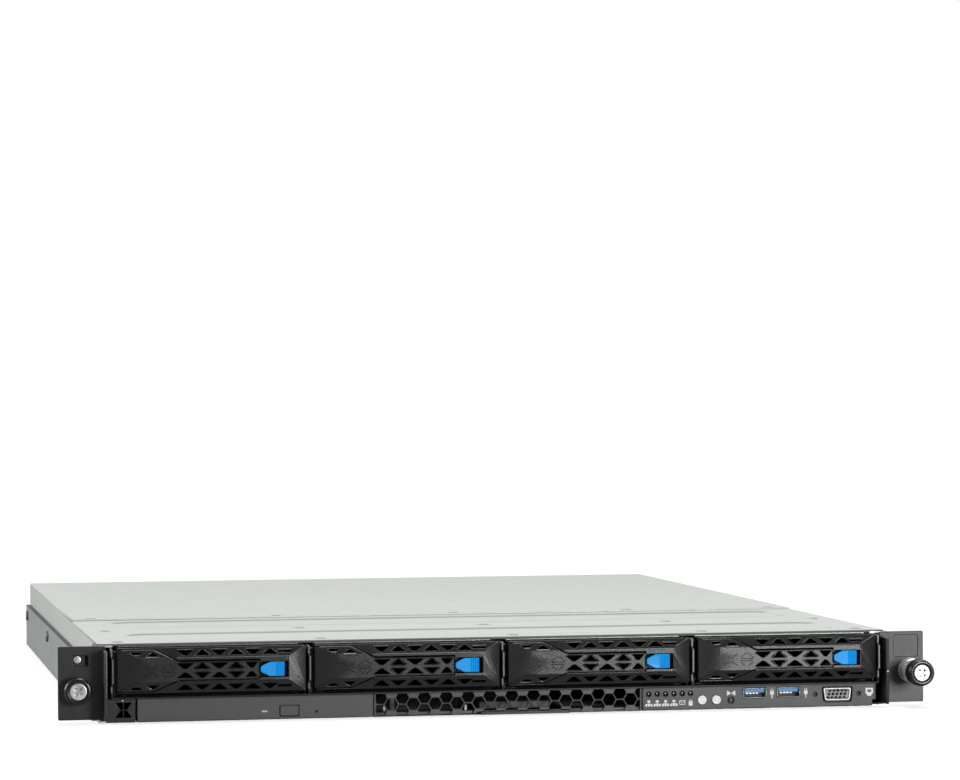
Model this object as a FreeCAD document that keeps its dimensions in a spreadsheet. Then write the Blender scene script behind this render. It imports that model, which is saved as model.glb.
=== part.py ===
"""A 1U rack server: folded-steel chassis, four hot-swap drive carriers, optical drive, fans, PSUs.

Frame: x is across (0 on the centre line), y runs from the front to the back, and z is up.  The origin
is on the chassis's underside, on the centre line, in the plane of the rack ears' rear faces, which is
where the server meets the rack posts.  All sizes are in millimetres.
"""
import FreeCAD, Part
import os
import re

doc = FreeCAD.newDocument("rack_server")

# ---------------------------------------------------------------- driving dimensions
SIZES = {
    # body
    "body_depth": (597.0, "from the top cover's front edge to the rear panel"),
    "body_front": (3.3, "how far the top cover's front edge sits behind the rack face"),
    "bay_side": (6.75, "edge of the outer bays to the outside of the side wall"),
    "steel": (1.0, "sheet of the base, walls and rear panel"),
    "flange": (8.0, "inward flange along the top of the front side walls"),
    "slip": (0.05, "radial or side clearance of a running fit"),
    "play": (0.2, "clearance between pieces that close on each other"),
    "gap": (0.3, "clearance between neighbouring pieces"),
    "past": (1.0, "how far a cut runs past what it cuts"),
    # covers
    "lid_sheet": (0.8, "sheet of the two top covers"),
    "lid_step": (0.9, "how much higher the rear cover lies"),
    "seam_depth": (193.2, "length of the fixed front cover"),
    "emboss_depth": (0.4, "depth of the stiffening panels pressed into the front cover"),
    "emboss_side": (21.75, "side wall to the pressed panels"),
    "emboss_length": (48.0, "their length front to back"),
    "emboss_inset": (25.0, "cover's front edge to the first panel"),
    "emboss_pitch": (104.0, "first panel to the second"),
    "cover_screw": (1.5, "shank radius of the cover screws"),
    "cover_head": (2.7, "head radius of the cover screws"),
    "cover_head_high": (0.3, "height of their heads"),
    "screw_side": (11.75, "side wall to the outer cover screws"),
    "screw_middle": (11.0, "middle cover screw's place across"),
    "screw_pitch": (107.75, "inner cover screws' pitch"),
    "screw_row": (15.0, "cover's front edge to the first row of screws"),
    "screw_row_pitch": (87.0, "first row to the second"),
    # rack ears
    "ear_out": (21.55, "ear's outer edge beyond the side wall, for the 482.6 rack width"),
    "ear_plate": (2.0, "ear plate's thickness"),
    "ear_bottom": (1.8, "ear's lower edge above the underside"),
    "ear_over": (0.1, "ear's upper edge above the side wall"),
    "ear_wall": (1.9, "thickness of the ear's forward wall"),
    "ear_wall_in": (2.15, "outer face of that wall inside the side wall's outer face"),
    "ear_wall_drop": (2.0, "how far that wall stops short of the ear's upper edge"),
    "ear_reach": (13.3, "how far the wall stands forward of the plate"),
    "ear_rebate": (0.5, "how deep the side wall's front edge sits in the ear"),
    "ear_tab": (1.4, "thickness of the ear's rear tab on the side wall"),
    "tab_length": (22.0, "length of that tab"),
    "tab_lift": (1.5, "tab's lower edge above the slide rail"),
    "pocket_out": (5.45, "left ear's square pocket, beyond the side wall"),
    "pocket_width": (8.0, "pocket's width"),
    "pocket_low": (30.6, "pocket's lower edge"),
    "pocket_high": (36.4, "pocket's upper edge"),
    "pocket_depth": (1.4, "pocket's depth"),
    "pin_out": (11.15, "alignment pin's axis beyond the side wall"),
    "pin_z": (34.2, "alignment pin's axis above the underside"),
    "pin_radius": (2.0, "alignment pin"),
    "pin_proud": (0.3, "how far the pin stands off the ear"),
    # captive thumbscrews
    "left_screw_out": (11.45, "left screw's axis beyond the side wall"),
    "left_screw_z": (17.8, "left screw's axis above the underside"),
    "right_screw_out": (13.45, "right screw's axis beyond the side wall"),
    "right_screw_z": (19.6, "right screw's axis above the underside"),
    "screw_radius": (2.5, "M5 thread"),
    "screw_neck": (1.9, "undercut shank that keeps the screw captive in its sleeve"),
    "sleeve_radius": (4.6, "spring sleeve"),
    "collar_radius": (6.2, "fixed collar pressed into the ear"),
    "collar_step": (0.7, "collar's shoulder on the ear"),
    "collar_length": (7.5, "collar ahead of the ear plate"),
    "knob_radius": (7.5, "knob"),
    "knob_length": (8.5, "knob"),
    "knob_wall": (1.0, "knob's side wall"),
    "knob_face": (1.8, "knob's face"),
    "screw_travel": (14.5, "how far a released screw springs out"),
    "thread_length": (6.0, "thread beyond the sleeve"),
    # side rails
    "rail_proud": (2.84, "inner slide rail's depth off the side wall"),
    "rail_low": (0.4, "rail's lower edge"),
    "rail_high": (28.0, "rail's upper edge"),
    "rail_front": (8.0, "rail's front end behind the rack face"),
    "rail_stop": (1.8, "rail's rear end ahead of the rear panel"),
    "stud_z": (21.5, "height of the shoulder studs"),
    "stud_first": (150.0, "first stud behind the rack face"),
    "stud_second": (366.0, "second stud behind the rack face"),
    "stud_last": (21.3, "last stud ahead of the rear panel"),
    "stud_shank": (2.0, "stud's shank radius"),
    "stud_spacer": (3.2, "stud's shoulder radius"),
    "stud_head": (3.4, "stud's head radius"),
    "stud_head_high": (1.4, "height of its head"),
    # drives and their carriers
    "drive_width": (101.6, "3.5 inch drive"),
    "drive_length": (147.0, "3.5 inch drive"),
    "drive_height": (26.1, "3.5 inch drive"),
    "drive_front": (2.5, "drive's front behind the rack face"),
    "drive_lid": (2.5, "drive's cover plate"),
    "drive_lid_in": (2.0, "cover plate's edge inside the base's"),
    "drive_plug_wide": (44.0, "connector's notch"),
    "drive_plug_deep": (5.0, "connector's notch"),
    "drive_plug_high": (7.0, "connector's notch"),
    "bezel_trim": (0.1, "how much narrower than the drive the carrier's bezel is"),
    "bay_gap": (5.0, "bezel to bezel"),
    "bezel_height": (24.4, "carrier's bezel"),
    "bezel_lift": (2.3, "bezel's lower edge above the cage floor"),
    "bezel_face": (14.5, "bezel's raised middle ahead of the rack face"),
    "bezel_edge": (12.1, "bezel's rim ahead of the rack face"),
    "bezel_back": (4.2, "front of the bezel's back wall ahead of the rack face"),
    "bezel_tail": (1.0, "rear of the bezel's back wall ahead of the rack face"),
    "raised_left": (11.75, "bezel's left edge to its raised middle"),
    "raised_right": (9.15, "raised middle to the bezel's right edge"),
    "raised_low": (6.2, "bezel's lower edge to its raised middle"),
    "raised_high": (5.4, "raised middle to the bezel's upper edge"),
    "rim": (0.8, "bezel's upper and lower rims beside the lever"),
    "lever_root": (19.35, "bezel's left edge to where the lever starts to narrow"),
    "lever_neck": (32.55, "bezel's left edge to where it has narrowed to its bar"),
    "lever_tip": (25.35, "bar's free end to the bezel's right edge"),
    "bar_low": (6.6, "bezel's lower edge to the bar"),
    "bar_high": (7.2, "bar to the bezel's upper edge"),
    "lever_back": (9.2, "lever's rear face ahead of the rack face"),
    "groove": (0.35, "gap round the lever"),
    "pivot_in": (4.25, "bezel's left edge to the lever's pivot"),
    "pivot_y": (9.5, "lever's pivot ahead of the rack face"),
    "pivot_radius": (1.5, "lever's moulded pins"),
    "pivot_wall": (1.0, "boss round the pins"),
    "vent_first": (36.25, "bezel's left edge to the first triangular vent"),
    "vent_pitch": (9.15, "pitch of the triangular vents"),
    "vent_width": (8.6, "base of a triangular vent"),
    "vent_tip": (1.3, "its blunt tip"),
    "end_vent": (6.0, "width of the vents at the bar's tip"),
    "end_vent_in": (0.8, "how far they are moved away from the tip"),
    "vent_height": (2.7, "height of a triangular vent"),
    "vent_row": (3.0, "bezel's edge to a row of vents"),
    "bar_row": (2.9, "bar's edge to a row of vents"),
    "slot_in": (7.75, "long vent to the bezel's right edge"),
    "slot_wide": (7.6, "long vent beside the triangles"),
    "slot_high": (1.0, "its height"),
    "latch_low": (8.1, "bezel's lower edge to the release button"),
    "latch_high": (8.6, "release button to the bezel's upper edge"),
    "latch_tip": (24.65, "its arrow's tip to the bezel's right edge"),
    "latch_shoulder": (19.75, "where the arrow reaches full height"),
    "latch_end": (11.65, "its right edge to the bezel's right edge"),
    "latch_slope": (2.4, "height of the arrow's slopes"),
    "latch_travel": (2.0, "how far it slides to free the lever"),
    "latch_proud": (0.5, "how far it stands off the bezel's middle"),
    "pocket_floor": (2.0, "depth of the pocket's floor under the release button"),
    "runner": (1.5, "carrier's side rail"),
    "runner_length": (152.0, "carrier's side rails behind the rack face"),
    "runner_drop": (2.7, "side rails' upper edge below the side wall's"),
    "runner_lap": (1.2, "how far the side rails lap onto the bezel"),
    "ledge": (7.0, "lips that the drive rests on"),
    "ledge_high": (0.7, "height of those lips"),
    "crossbar_in": (12.0, "carrier's crossbar to the end of its rails"),
    "crossbar": (8.0, "crossbar, front to back"),
    # drive cage
    "cage_sheet": (0.7, "drive cage's floor and dividers"),
    "cage_front": (9.0, "cage ahead of the rack face"),
    "strip": (0.8, "thickness of the contact strips on the dividers' front edges"),
    "strip_width": (1.6, "their width"),
    "strip_foot": (2.7, "length of the lowest strip"),
    "strip_notch": (1.5, "break between two strips"),
    "strip_top": (5.2, "middle strip's upper end below the bezel's upper edge"),
    "backplane_y": (163.0, "backplane board's front face"),
    "backplane_top": (1.2, "its upper edge below the side wall's"),
    "backplane_plug": (40.0, "width of a drive's connector on it"),
    "backplane_reach": (4.0, "how far that connector reaches into the drive"),
    "air_window": (88.0, "width of its opening for the air in each bay"),
    "air_low": (24.0, "opening's lower edge"),
    "air_high": (37.0, "opening's upper edge"),
    "board": (1.6, "circuit boards"),
    # lower row
    "row_face": (4.8, "lower row's front ahead of the rack face"),
    "row_plate": (1.5, "its moulded face plates"),
    "row_low": (0.3, "lower edge of the face plates"),
    "row_high": (13.1, "upper edge of the face plates"),
    "row_side": (4.35, "side wall to the first face plate"),
    "foot": (10.0, "length of each face plate's foot on the base"),
    "foot_high": (1.1, "its thickness"),
    "glass_x": (8.8, "corner vent's opening from the plate's left edge"),
    "glass_z": (6.9, "middle of that opening"),
    "glass_waist": (3.6, "its width at the waist"),
    "glass_mouth": (8.4, "its width at the top and bottom"),
    "glass_high": (3.4, "height of each half"),
    "glass_bridge": (1.0, "web between the halves"),
    "optical_side": (20.75, "side wall to the optical drive"),
    "optical_split": (1.2, "optical drive to the corner vent"),
    "optical_width": (128.0, "slim optical drive"),
    "optical_length": (126.0, "slim optical drive"),
    "optical_sheet": (0.6, "its case"),
    "optical_end": (4.0, "its connector block"),
    "tray_short": (14.0, "how much shorter its tray is"),
    "tray_low": (0.9, "tray's underside above the base sheet"),
    "tray_high": (8.5, "tray's upper face"),
    "disc_radius": (60.3, "disc well"),
    "disc_floor": (5.0, "disc well's floor"),
    "disc_y": (60.0, "disc's centre behind the rack face"),
    "hub_radius": (13.0, "disc hub"),
    "hub_top": (8.2, "disc hub"),
    "eject_x": (77.0, "eject key from the drive's left side"),
    "eject_wide": (10.0, "eject key"),
    "eject_low": (2.0, "eject key's lower edge"),
    "eject_high": (7.4, "eject key's upper edge"),
    "eject_proud": (0.4, "how far it stands off the bezel"),
    "pinhole_x": (96.7, "emergency eject hole from the drive's left side"),
    "pinhole_z": (4.0, "its height"),
    "pinhole": (0.6, "its radius"),
    "panel_side": (6.75, "control panel to the side wall"),
    "panel_width": (134.0, "control panel"),
    "panel_notch": (2.2, "step in its lower right corner, across"),
    "panel_notch_high": (3.6, "step's height"),
    "hex_pitch": (12.13, "grille: full cell to full cell"),
    "hex_rib": (0.95, "grille: rib between cells"),
    "hex_start": (3.6, "grille: solid band at its left end"),
    "hex_side": (2.0, "grille: solid edge at its ends"),
    "hex_edge": (1.0, "grille: solid edge above and below"),
    "tag_left": (12.0, "service tag, left of centre"),
    "tag_right": (38.0, "service tag, right of centre"),
    "tag_length": (50.0, "its card behind the rack face"),
    "tag_sheet": (0.8, "its card"),
    "tag_lip": (1.6, "its pull lip ahead of the grille"),
    "button_radius": (2.5, "power and locate buttons"),
    "button_proud": (1.0, "how far the buttons stand off the panel"),
    "reset_radius": (1.3, "reset button"),
    "power_x": (33.8, "power button from the panel's left edge"),
    "locate_x": (42.0, "locate button from the panel's left edge"),
    "reset_x": (50.0, "reset button from the panel's left edge"),
    "button_z": (5.6, "power and locate buttons"),
    "reset_z": (5.1, "reset button"),
    "press": (0.8, "how far a button travels"),
    "stop": (1.0, "collar that keeps a button in"),
    "stop_wide": (0.5, "how far that collar stands out"),
    "button_stem": (0.5, "button's stem behind its collar"),
    "lamp_x": (3.7, "first of six lamps from the panel's left edge"),
    "lamp_pitch": (4.74, "lamp to lamp"),
    "lamp_z": (9.3, "row of lamps"),
    "lamp_radius": (1.2, "light pipe"),
    "lamp_bar": (3.2, "bar that joins the light pipes"),
    "usb_x": (64.0, "first USB socket from the panel's left edge"),
    "usb_pitch": (19.4, "socket to socket"),
    "usb_z": (8.8, "middle of the sockets"),
    "usb_wide": (13.2, "socket's shell"),
    "usb_high": (5.4, "socket's shell"),
    "usb_shell": (0.4, "its sheet, and how far it stands off the panel"),
    "usb_length": (12.0, "socket behind the rack face"),
    "usb_back": (2.0, "its closed end"),
    "tongue_wide": (11.0, "its contact tongue"),
    "tongue_low": (0.3, "tongue's lower face above the socket's middle"),
    "tongue_high": (2.1, "tongue's upper face above the socket's middle"),
    "video_x": (111.3, "video socket from the panel's left edge"),
    "video_z": (7.3, "video socket's middle"),
    "video_narrow": (14.6, "its shell across the bottom"),
    "video_wide": (16.6, "its shell across the top"),
    "video_high": (7.4, "its shell"),
    "video_proud": (0.6, "how far the shell stands off the panel"),
    "video_body": (30.0, "its body behind the panel"),
    "video_length": (12.0, "its body behind the rack face"),
    "pin_hole": (0.5, "its contact holes"),
    "pin_pitch": (2.29, "contact to contact"),
    "pin_row": (1.98, "row to row"),
    "jack_pitch": (25.0, "its jack screws"),
    "jack_radius": (1.25, "their threaded holes"),
    "panel_board_y": (2.0, "front edge of the board behind the control panel"),
    "panel_board_z": (4.4, "that board's underside"),
    "panel_board_long": (40.0, "that board, front to back"),
    "panel_board_side": (2.0, "that board's edge from the panel's left edge"),
    "panel_board_right": (5.0, "that board's edge from the panel's right edge"),
    "post_radius": (2.5, "its posts"),
    "post_in": (9.0, "its edges to the posts"),
    "switch": (4.0, "width of a key switch on its front edge"),
    # inside and rear
    "fan_length": (28.0, "fan housing, front to back"),
    "fan_pitch": (100.0, "fan to fan"),
    "fan_y": (226.0, "fans' front behind the rack face"),
    "fan_wall": (1.4, "least wall round a fan's duct"),
    "fan_cup": (8.0, "radius of the motor cup"),
    "fan_cup_long": (4.0, "motor cup, front to back"),
    "fan_arm": (2.0, "width of the arms that hold the cup"),
    "fan_arm_long": (3.0, "arms, front to back"),
    "fan_shaft": (1.5, "rotor's shaft radius"),
    "fan_hub": (8.5, "rotor's hub radius"),
    "fan_tip": (0.5, "blade tips to the duct"),
    "blade": (1.4, "blade's thickness"),
    "blade_root": (7.0, "blade's root radius, inside the hub"),
    "board_front": (290.0, "main board's front edge"),
    "board_z": (7.5, "main board's underside, on its standoffs"),
    "board_left": (5.75, "main board's left edge from the side wall"),
    "board_side": (5.5, "main board's right edge from the power supplies' wall"),
    "board_back": (0.5, "main board's rear edge from the rear panel"),
    "standoff": (3.0, "standoff's radius"),
    "standoff_in": (10.0, "board's edges to the standoffs"),
    "socket_x": (109.0, "processor socket from the board's left edge"),
    "socket_y": (110.0, "processor socket from the board's front edge"),
    "socket_side": (60.0, "processor socket"),
    "socket_high": (5.0, "processor socket"),
    "sink_over": (7.0, "heatsink's overhang on the socket"),
    "sink_over_long": (8.0, "heatsink's overhang, front to back"),
    "sink_base": (4.0, "heatsink's base"),
    "sink_top": (3.0, "fins' tops below the side wall's upper edge"),
    "fin_pitch": (4.0, "fin to fin"),
    "fin": (0.8, "fin's thickness"),
    "memory_left": (64.0, "first bank of memory slots from the board's left edge"),
    "memory_right": (184.0, "second bank of memory slots from the board's left edge"),
    "memory_pitch": (10.0, "slot to slot"),
    "memory_y": (70.0, "slots from the board's front edge"),
    "memory_long": (140.0, "slot's length"),
    "memory_wide": (6.0, "slot's width"),
    "memory_high": (3.0, "slot's height"),
    "module": (1.2, "memory module's thickness"),
    "module_long": (133.4, "memory module's length"),
    "port_in": (20.0, "rear sockets' depth inside the rear panel"),
    "port_proud": (0.6, "how far they stand off it"),
    "port_wall": (1.6, "their side walls"),
    "port_floor": (2.0, "their upper and lower walls"),
    "port_mouth": (12.0, "depth of their mouths"),
    "window_left": (68.0, "connector window from the board's left edge"),
    "window_wide": (190.0, "connector window"),
    "window_high": (16.0, "connector window above the board"),
    "slit_left": (74.0, "rear panel's first vent from the board's left edge"),
    "slit_pitch": (6.0, "vent to vent"),
    "slit_wide": (3.5, "vent's width"),
    "slit_low": (11.2, "vents' lower ends below the side wall's upper edge"),
    "slit_high": (3.2, "vents' upper ends below it"),
    "psu_width": (73.5, "power supply"),
    "psu_length": (185.0, "power supply"),
    "psu_low": (1.3, "power supply's underside"),
    "psu_top": (0.9, "its top below the side wall's upper edge"),
    "psu_gap": (1.2, "between the two power supplies"),
    "psu_spare": (3.55, "right power supply to the side wall"),
    "psu_near": (0.5, "left power supply to its wall, and how far both stand off the rear panel"),
    "psu_lead": (15.0, "how far their wall reaches ahead of them"),
    "inlet_x": (6.0, "inlet's left edge from the supply's left side"),
    "inlet_wide": (27.0, "inlet"),
    "inlet_low": (9.5, "inlet's lower edge above the supply's underside"),
    "inlet_high": (20.0, "inlet's height"),
    "inlet_deep": (15.0, "inlet's depth"),
    "blade_long": (9.0, "inlet's contact blades"),
    "blade_wide": (2.0, "inlet's contact blades"),
    "blade_high": (4.0, "inlet's contact blades"),
    "square_x": (34.0, "first column of square vents from the supply's right side"),
    "square_z": (5.0, "first row above the supply's underside"),
    "square_pitch": (6.2, "column to column"),
    "square_row": (7.6, "row to row"),
    "square_wide": (4.6, "square vent"),
    "square_high": (6.0, "square vent"),
    "bail_x": (25.5, "bail handle from the supply's right side"),
    "bail": (3.0, "bail handle's thickness"),
    "bail_out": (22.0, "how far it stands off the rear panel"),
    "bail_low": (6.0, "its lower edge above the supply's underside"),
    "bail_high": (27.0, "its height"),
    "bail_bar": (3.5, "width of its legs and grip"),
    "tab_slot": (6.5, "release tab's slot from the supply's right side"),
    "tab_slot_wide": (5.0, "slot's width"),
    "tab_low": (11.0, "slot's lower edge above the supply's underside"),
    "tab_high": (16.0, "slot's height"),
    "tab_x": (3.3, "release tab from the supply's right side"),
    "tab": (1.4, "release tab's thickness"),
    "tab_out": (14.0, "how far it stands off the rear panel"),
    "thumb": (1.6, "its thumb pad's extra thickness"),
    "thumb_long": (5.0, "its thumb pad"),
}

sheet = doc.addObject("Spreadsheet::Sheet", "Sizes")
for row, (alias, (value, note)) in enumerate(SIZES.items(), start=1):
    sheet.set("A%d" % row, note)
    sheet.set("B%d" % row, str(value))
    sheet.setAlias("B%d" % row, alias)
doc.recompute()

# Places that follow from the sizes, written in the sheet's aliases.  A later one may use earlier ones.
SHARED = {
    "EDGE": "((drive_width - bezel_trim) / 2)",
    "PITCH": "(drive_width - bezel_trim + bay_gap)",
    "HALF": "(2 * PITCH + bay_side)",
    "BACK": "(body_front + body_depth)",
    "SEAM": "(body_front + seam_depth)",
    "SHELF": "(row_high + play)",
    "FLOOR": "(SHELF + cage_sheet + slip * 2)",
    "DRIVE_Z": "(FLOOR + ledge_high)",
    "WALL": "(DRIVE_Z + drive_height + gap)",
    "LID": "(WALL + lid_step)",
    "EAR_TOP": "(WALL + ear_over)",
    "CAGE_TOP": "(WALL - steel - play)",
    "BEZEL_LOW": "(SHELF + cage_sheet + bezel_lift)",
    "BEZEL_HIGH": "(BEZEL_LOW + bezel_height)",
    "LEVER_LOW": "(BEZEL_LOW + rim + gap / 2)",
    "LEVER_HIGH": "(BEZEL_HIGH - rim - gap / 2)",
    "BAR_LOW": "(BEZEL_LOW + bar_low)",
    "BAR_HIGH": "(BEZEL_HIGH - bar_high)",
    "PIVOT": "(pivot_in - EDGE)",
    "DRIVE_BACK": "(drive_front + drive_length)",
    "RUNNER": "(drive_width / 2 + slip)",
    "ROW_BACK": "(row_plate - row_face)",
    "ROW_LEFT": "(row_side - HALF)",
    "OPTICAL": "(optical_side - HALF)",
    "GRILLE": "(OPTICAL + optical_width + gap)",
    "PANEL": "(HALF - panel_side - panel_width)",
    "POWER": "(PANEL + power_x)",
    "LOCATE": "(PANEL + locate_x)",
    "RESET": "(PANEL + reset_x)",
    "LAMP": "(PANEL + lamp_x)",
    "VIDEO": "(PANEL + video_x)",
    "FAN": "(WALL - steel - play)",
    "FAN_Z": "(steel + FAN / 2)",
    "DUCT": "(FAN / 2 - fan_wall)",
    "FAN_END": "(fan_y + fan_length)",
    "PSU_WALL": "(HALF - 2 * steel - psu_spare - 2 * psu_width - psu_gap - psu_near)",
    "PSU_TOP": "(WALL - psu_top)",
    "BOARD_LEFT": "(board_left - HALF)",
    "BOARD_RIGHT": "(PSU_WALL - board_side)",
    "BOARD_BACK": "(BACK - steel - board_back)",
    "BOARD_TOP": "(board_z + board)",
}
for name, meaning in SHARED.items():
    for known in SHARED:
        if known != name:
            meaning = re.sub(r"\b%s\b" % known, SHARED[known], meaning)
    SHARED[name] = meaning
TERM = re.compile(r"\b(%s)\b" % "|".join(SHARED))
ALIAS = re.compile(r"\b(%s)\b" % "|".join(SIZES))
PIECES = []


def formula(text):
    """An expression for FreeCAD from one written with bare aliases and shared terms."""
    return ALIAS.sub(r"Sizes.\1", TERM.sub(lambda found: SHARED[found.group()], str(text)))


def bind(obj, **values):
    """Bind properties of an object to expressions in the sheet's sizes."""
    for prop, text in values.items():
        obj.setExpression(prop, formula(text))
    return obj


def place(obj, x="0", y="0", z="0"):
    """Bind an object's position."""
    obj.setExpression("Placement.Base.x", formula(x))
    obj.setExpression("Placement.Base.y", formula(y))
    obj.setExpression("Placement.Base.z", formula(z))
    return obj


def box(x0, x1, y0, y1, z0, z1):
    """A box between two bounds along each axis."""
    obj = doc.addObject("Part::Box", "block")
    bind(obj, Length="(%s) - (%s)" % (x1, x0), Width="(%s) - (%s)" % (y1, y0))
    bind(obj, Height="(%s) - (%s)" % (z1, z0))
    return place(obj, x0, y0, z0)


TURN = {
    "x": FreeCAD.Rotation(FreeCAD.Vector(0, 1, 0), 90),
    "y": FreeCAD.Rotation(FreeCAD.Vector(1, 0, 0), -90),
    "z": FreeCAD.Rotation(),
}


def rod(axis, radius, start, end, a, b):
    """A round bar along an axis from start to end; a and b are its other two coordinates in order."""
    obj = doc.addObject("Part::Cylinder", "bar")
    obj.Placement = FreeCAD.Placement(FreeCAD.Vector(), TURN[axis])
    bind(obj, Radius=radius, Height="(%s) - (%s)" % (end, start))
    spots = {"x": (start, a, b), "y": (a, start, b), "z": (a, b, start)}
    return place(obj, *spots[axis])


def tube(axis, outer, inner, start, end, a, b):
    """A round tube along an axis."""
    return cut(rod(axis, outer, start, end, a, b), rod(axis, inner, start, end, a, b))


def taper_y(y0, near, y1, far):
    """A block from the rectangle `near` at y0 to the rectangle `far` at y1, each (x0, x1, z0, z1)."""
    obj = doc.addObject("Part::Wedge", "wedge")
    bind(obj, Ymin=y0, Xmin=near[0], Xmax=near[1], Zmin=near[2], Zmax=near[3])
    return bind(obj, Ymax=y1, X2min=far[0], X2max=far[1], Z2min=far[2], Z2max=far[3])


def taper_x(x0, near, x1, far, y0, y1):
    """A block between y0 and y1 whose z range goes from `near` at x0 to `far` at x1."""
    obj = doc.addObject("Part::Wedge", "wedge")
    obj.Placement = FreeCAD.Placement(FreeCAD.Vector(), FreeCAD.Rotation(FreeCAD.Vector(0, 0, 1), -90))
    deep = "-(%s)" % y0
    shallow = "-(%s)" % y1
    bind(obj, Ymin=x0, Xmin=shallow, Xmax=deep, Zmin=near[0], Zmax=near[1])
    return bind(obj, Ymax=x1, X2min=shallow, X2max=deep, Z2min=far[0], Z2max=far[1])


def vent(x, z0, z1, wide0, wide1, y0, y1):
    """A trapezoid or triangle prism along y, wide0 across at z0 and wide1 across at z1."""
    obj = doc.addObject("Part::Wedge", "vent")
    obj.Placement = FreeCAD.Placement(FreeCAD.Vector(), FreeCAD.Rotation(FreeCAD.Vector(1, 0, 0), 90))
    back, front = "-(%s)" % y1, "-(%s)" % y0
    bind(obj, Ymin=z0, Xmin="-(%s) / 2" % wide0, Xmax="(%s) / 2" % wide0, Zmin=back, Zmax=front)
    bind(obj, Ymax=z1, X2min="-(%s) / 2" % wide1, X2max="(%s) / 2" % wide1, Z2min=back, Z2max=front)
    return place(obj, x)


def fuse(*solids):
    """One solid made of several that touch or overlap."""
    if len(solids) == 1:
        return solids[0]
    obj = doc.addObject("Part::MultiFuse", "joined")
    obj.Shapes = list(solids)
    obj.Refine = True
    return obj


def cut(base, *tools):
    """A solid less the tools."""
    obj = doc.addObject("Part::Cut", "cut")
    obj.Base = base
    obj.Tool = fuse(*tools)
    return obj


def common(base, tool):
    """Where two solids overlap."""
    obj = doc.addObject("Part::Common", "common")
    obj.Base = base
    obj.Tool = tool
    return obj


def group(*solids):
    """Separate solids kept in one node."""
    obj = doc.addObject("Part::Compound", "group")
    obj.Links = list(solids)
    return obj


def node(label, obj, x=None):
    """Name a finished piece; one that is built about its own centre is placed across the server."""
    obj.Label = label
    if x is not None:
        place(obj, x)
    PIECES.append(obj)
    return obj


def side(sign, a, b):
    """The x range from a to b on the right (+1), or its mirror image on the left (-1)."""
    return (a, b) if sign > 0 else ("-(%s)" % b, "-(%s)" % a)


SIDES = {"left": -1, "right": 1}
BAYS = range(4)
STUD_Y = ("stud_first", "stud_second", "BACK - stud_last")


# ---------------------------------------------------------------- chassis
def chassis_base():
    """Folded tray: base sheet, two side walls, top flanges, board standoffs and the PSU wall."""
    parts = [box("-HALF", "HALF", "ROW_BACK", "BACK", "0", "steel")]
    for sign in SIDES.values():
        x0, x1 = side(sign, "HALF - steel", "HALF")
        parts.append(box(x0, x1, "-ear_rebate", "BACK", "0", "WALL"))
        x0, x1 = side(sign, "HALF - flange", "HALF")
        parts.append(box(x0, x1, "body_front", "SEAM", "WALL - steel", "WALL"))
    columns = ("BOARD_LEFT + standoff_in", "(BOARD_LEFT + BOARD_RIGHT) / 2", "BOARD_RIGHT - standoff_in")
    rows = ("board_front + standoff_in", "(board_front + BACK) / 2", "BOARD_BACK - standoff_in")
    parts += [rod("z", "standoff", "0", "board_z", column, row) for column in columns for row in rows]
    parts.append(box("PSU_WALL", "PSU_WALL + steel", "BACK - psu_length - psu_lead", "BACK - steel",
                     "0", "WALL - steel"))
    holes = []
    for sign in SIDES.values():
        x0, x1 = side(sign, "HALF - 2 * steel", "HALF + past")
        for y in STUD_Y:
            holes.append(rod("x", "stud_shank + slip", x0, x1, y, "stud_z"))
    holes.append(box("-HALF + steel", "HALF - steel", "BACK - steel", "BACK + past",
                     "steel", "WALL + past"))
    return cut(fuse(*parts), *holes)


def rear_panel():
    """Rear sheet with the power supply bay, the connector window and a row of vents."""
    plate = box("-HALF + steel", "HALF - steel", "BACK - steel", "BACK", "steel", "WALL")
    through = ("BACK - 2 * steel", "BACK + past")
    holes = [box("PSU_WALL + steel", "HALF - 2 * steel", *through, "steel + play", "WALL - 2 * play")]
    window = "BOARD_LEFT + window_left"
    holes.append(box(window, window + " + window_wide", *through,
                     "BOARD_TOP - play", "BOARD_TOP + window_high"))
    for column in range(31):
        x = "BOARD_LEFT + slit_left + %d * slit_pitch" % column
        holes.append(box(x, x + " + slit_wide", *through, "WALL - slit_low", "WALL - slit_high"))
    return cut(plate, *holes)


def front_top_cover():
    """Fixed cover over the drives, with two pressed panels and a folded front lip."""
    top = "WALL + lid_sheet"
    sheet_part = box("-HALF", "HALF", "body_front", "SEAM - gap", "WALL", top)
    lip = box("flange + steel - HALF", "HALF - flange - steel", "body_front", "body_front + lid_sheet",
              "WALL - play", top)
    cuts = []
    for panel in range(2):
        front = "body_front + emboss_inset + %d * emboss_pitch" % panel
        cuts.append(box("emboss_side - HALF", "HALF - emboss_side", front, front + " + emboss_length",
                        top + " - emboss_depth", top + " + past"))
    for x, y in cover_screw_places():
        cuts.append(rod("z", "cover_screw + slip", "WALL - past", top + " + past", x, y))
    return cut(fuse(sheet_part, lip), *cuts)


def cover_screw_places():
    """Two rows of five screws, one ahead of and one between the pressed panels."""
    across = ["screw_middle + %d * screw_pitch" % step for step in (-1, 0, 1)]
    across += ["screw_side - HALF", "HALF - screw_side"]
    first = "body_front + screw_row"
    return [(x, y) for y in (first, first + " + screw_row_pitch") for x in across]


def cover_screws():
    """Low-headed screws of the front cover."""
    screws = []
    top = "WALL + lid_sheet"
    for x, y in cover_screw_places():
        head = rod("z", "cover_head", top, top + " + cover_head_high", x, y)
        shank = rod("z", "cover_screw", "WALL", top + " + cover_head_high", x, y)
        screws.append(fuse(head, shank))
    return group(*screws)


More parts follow.
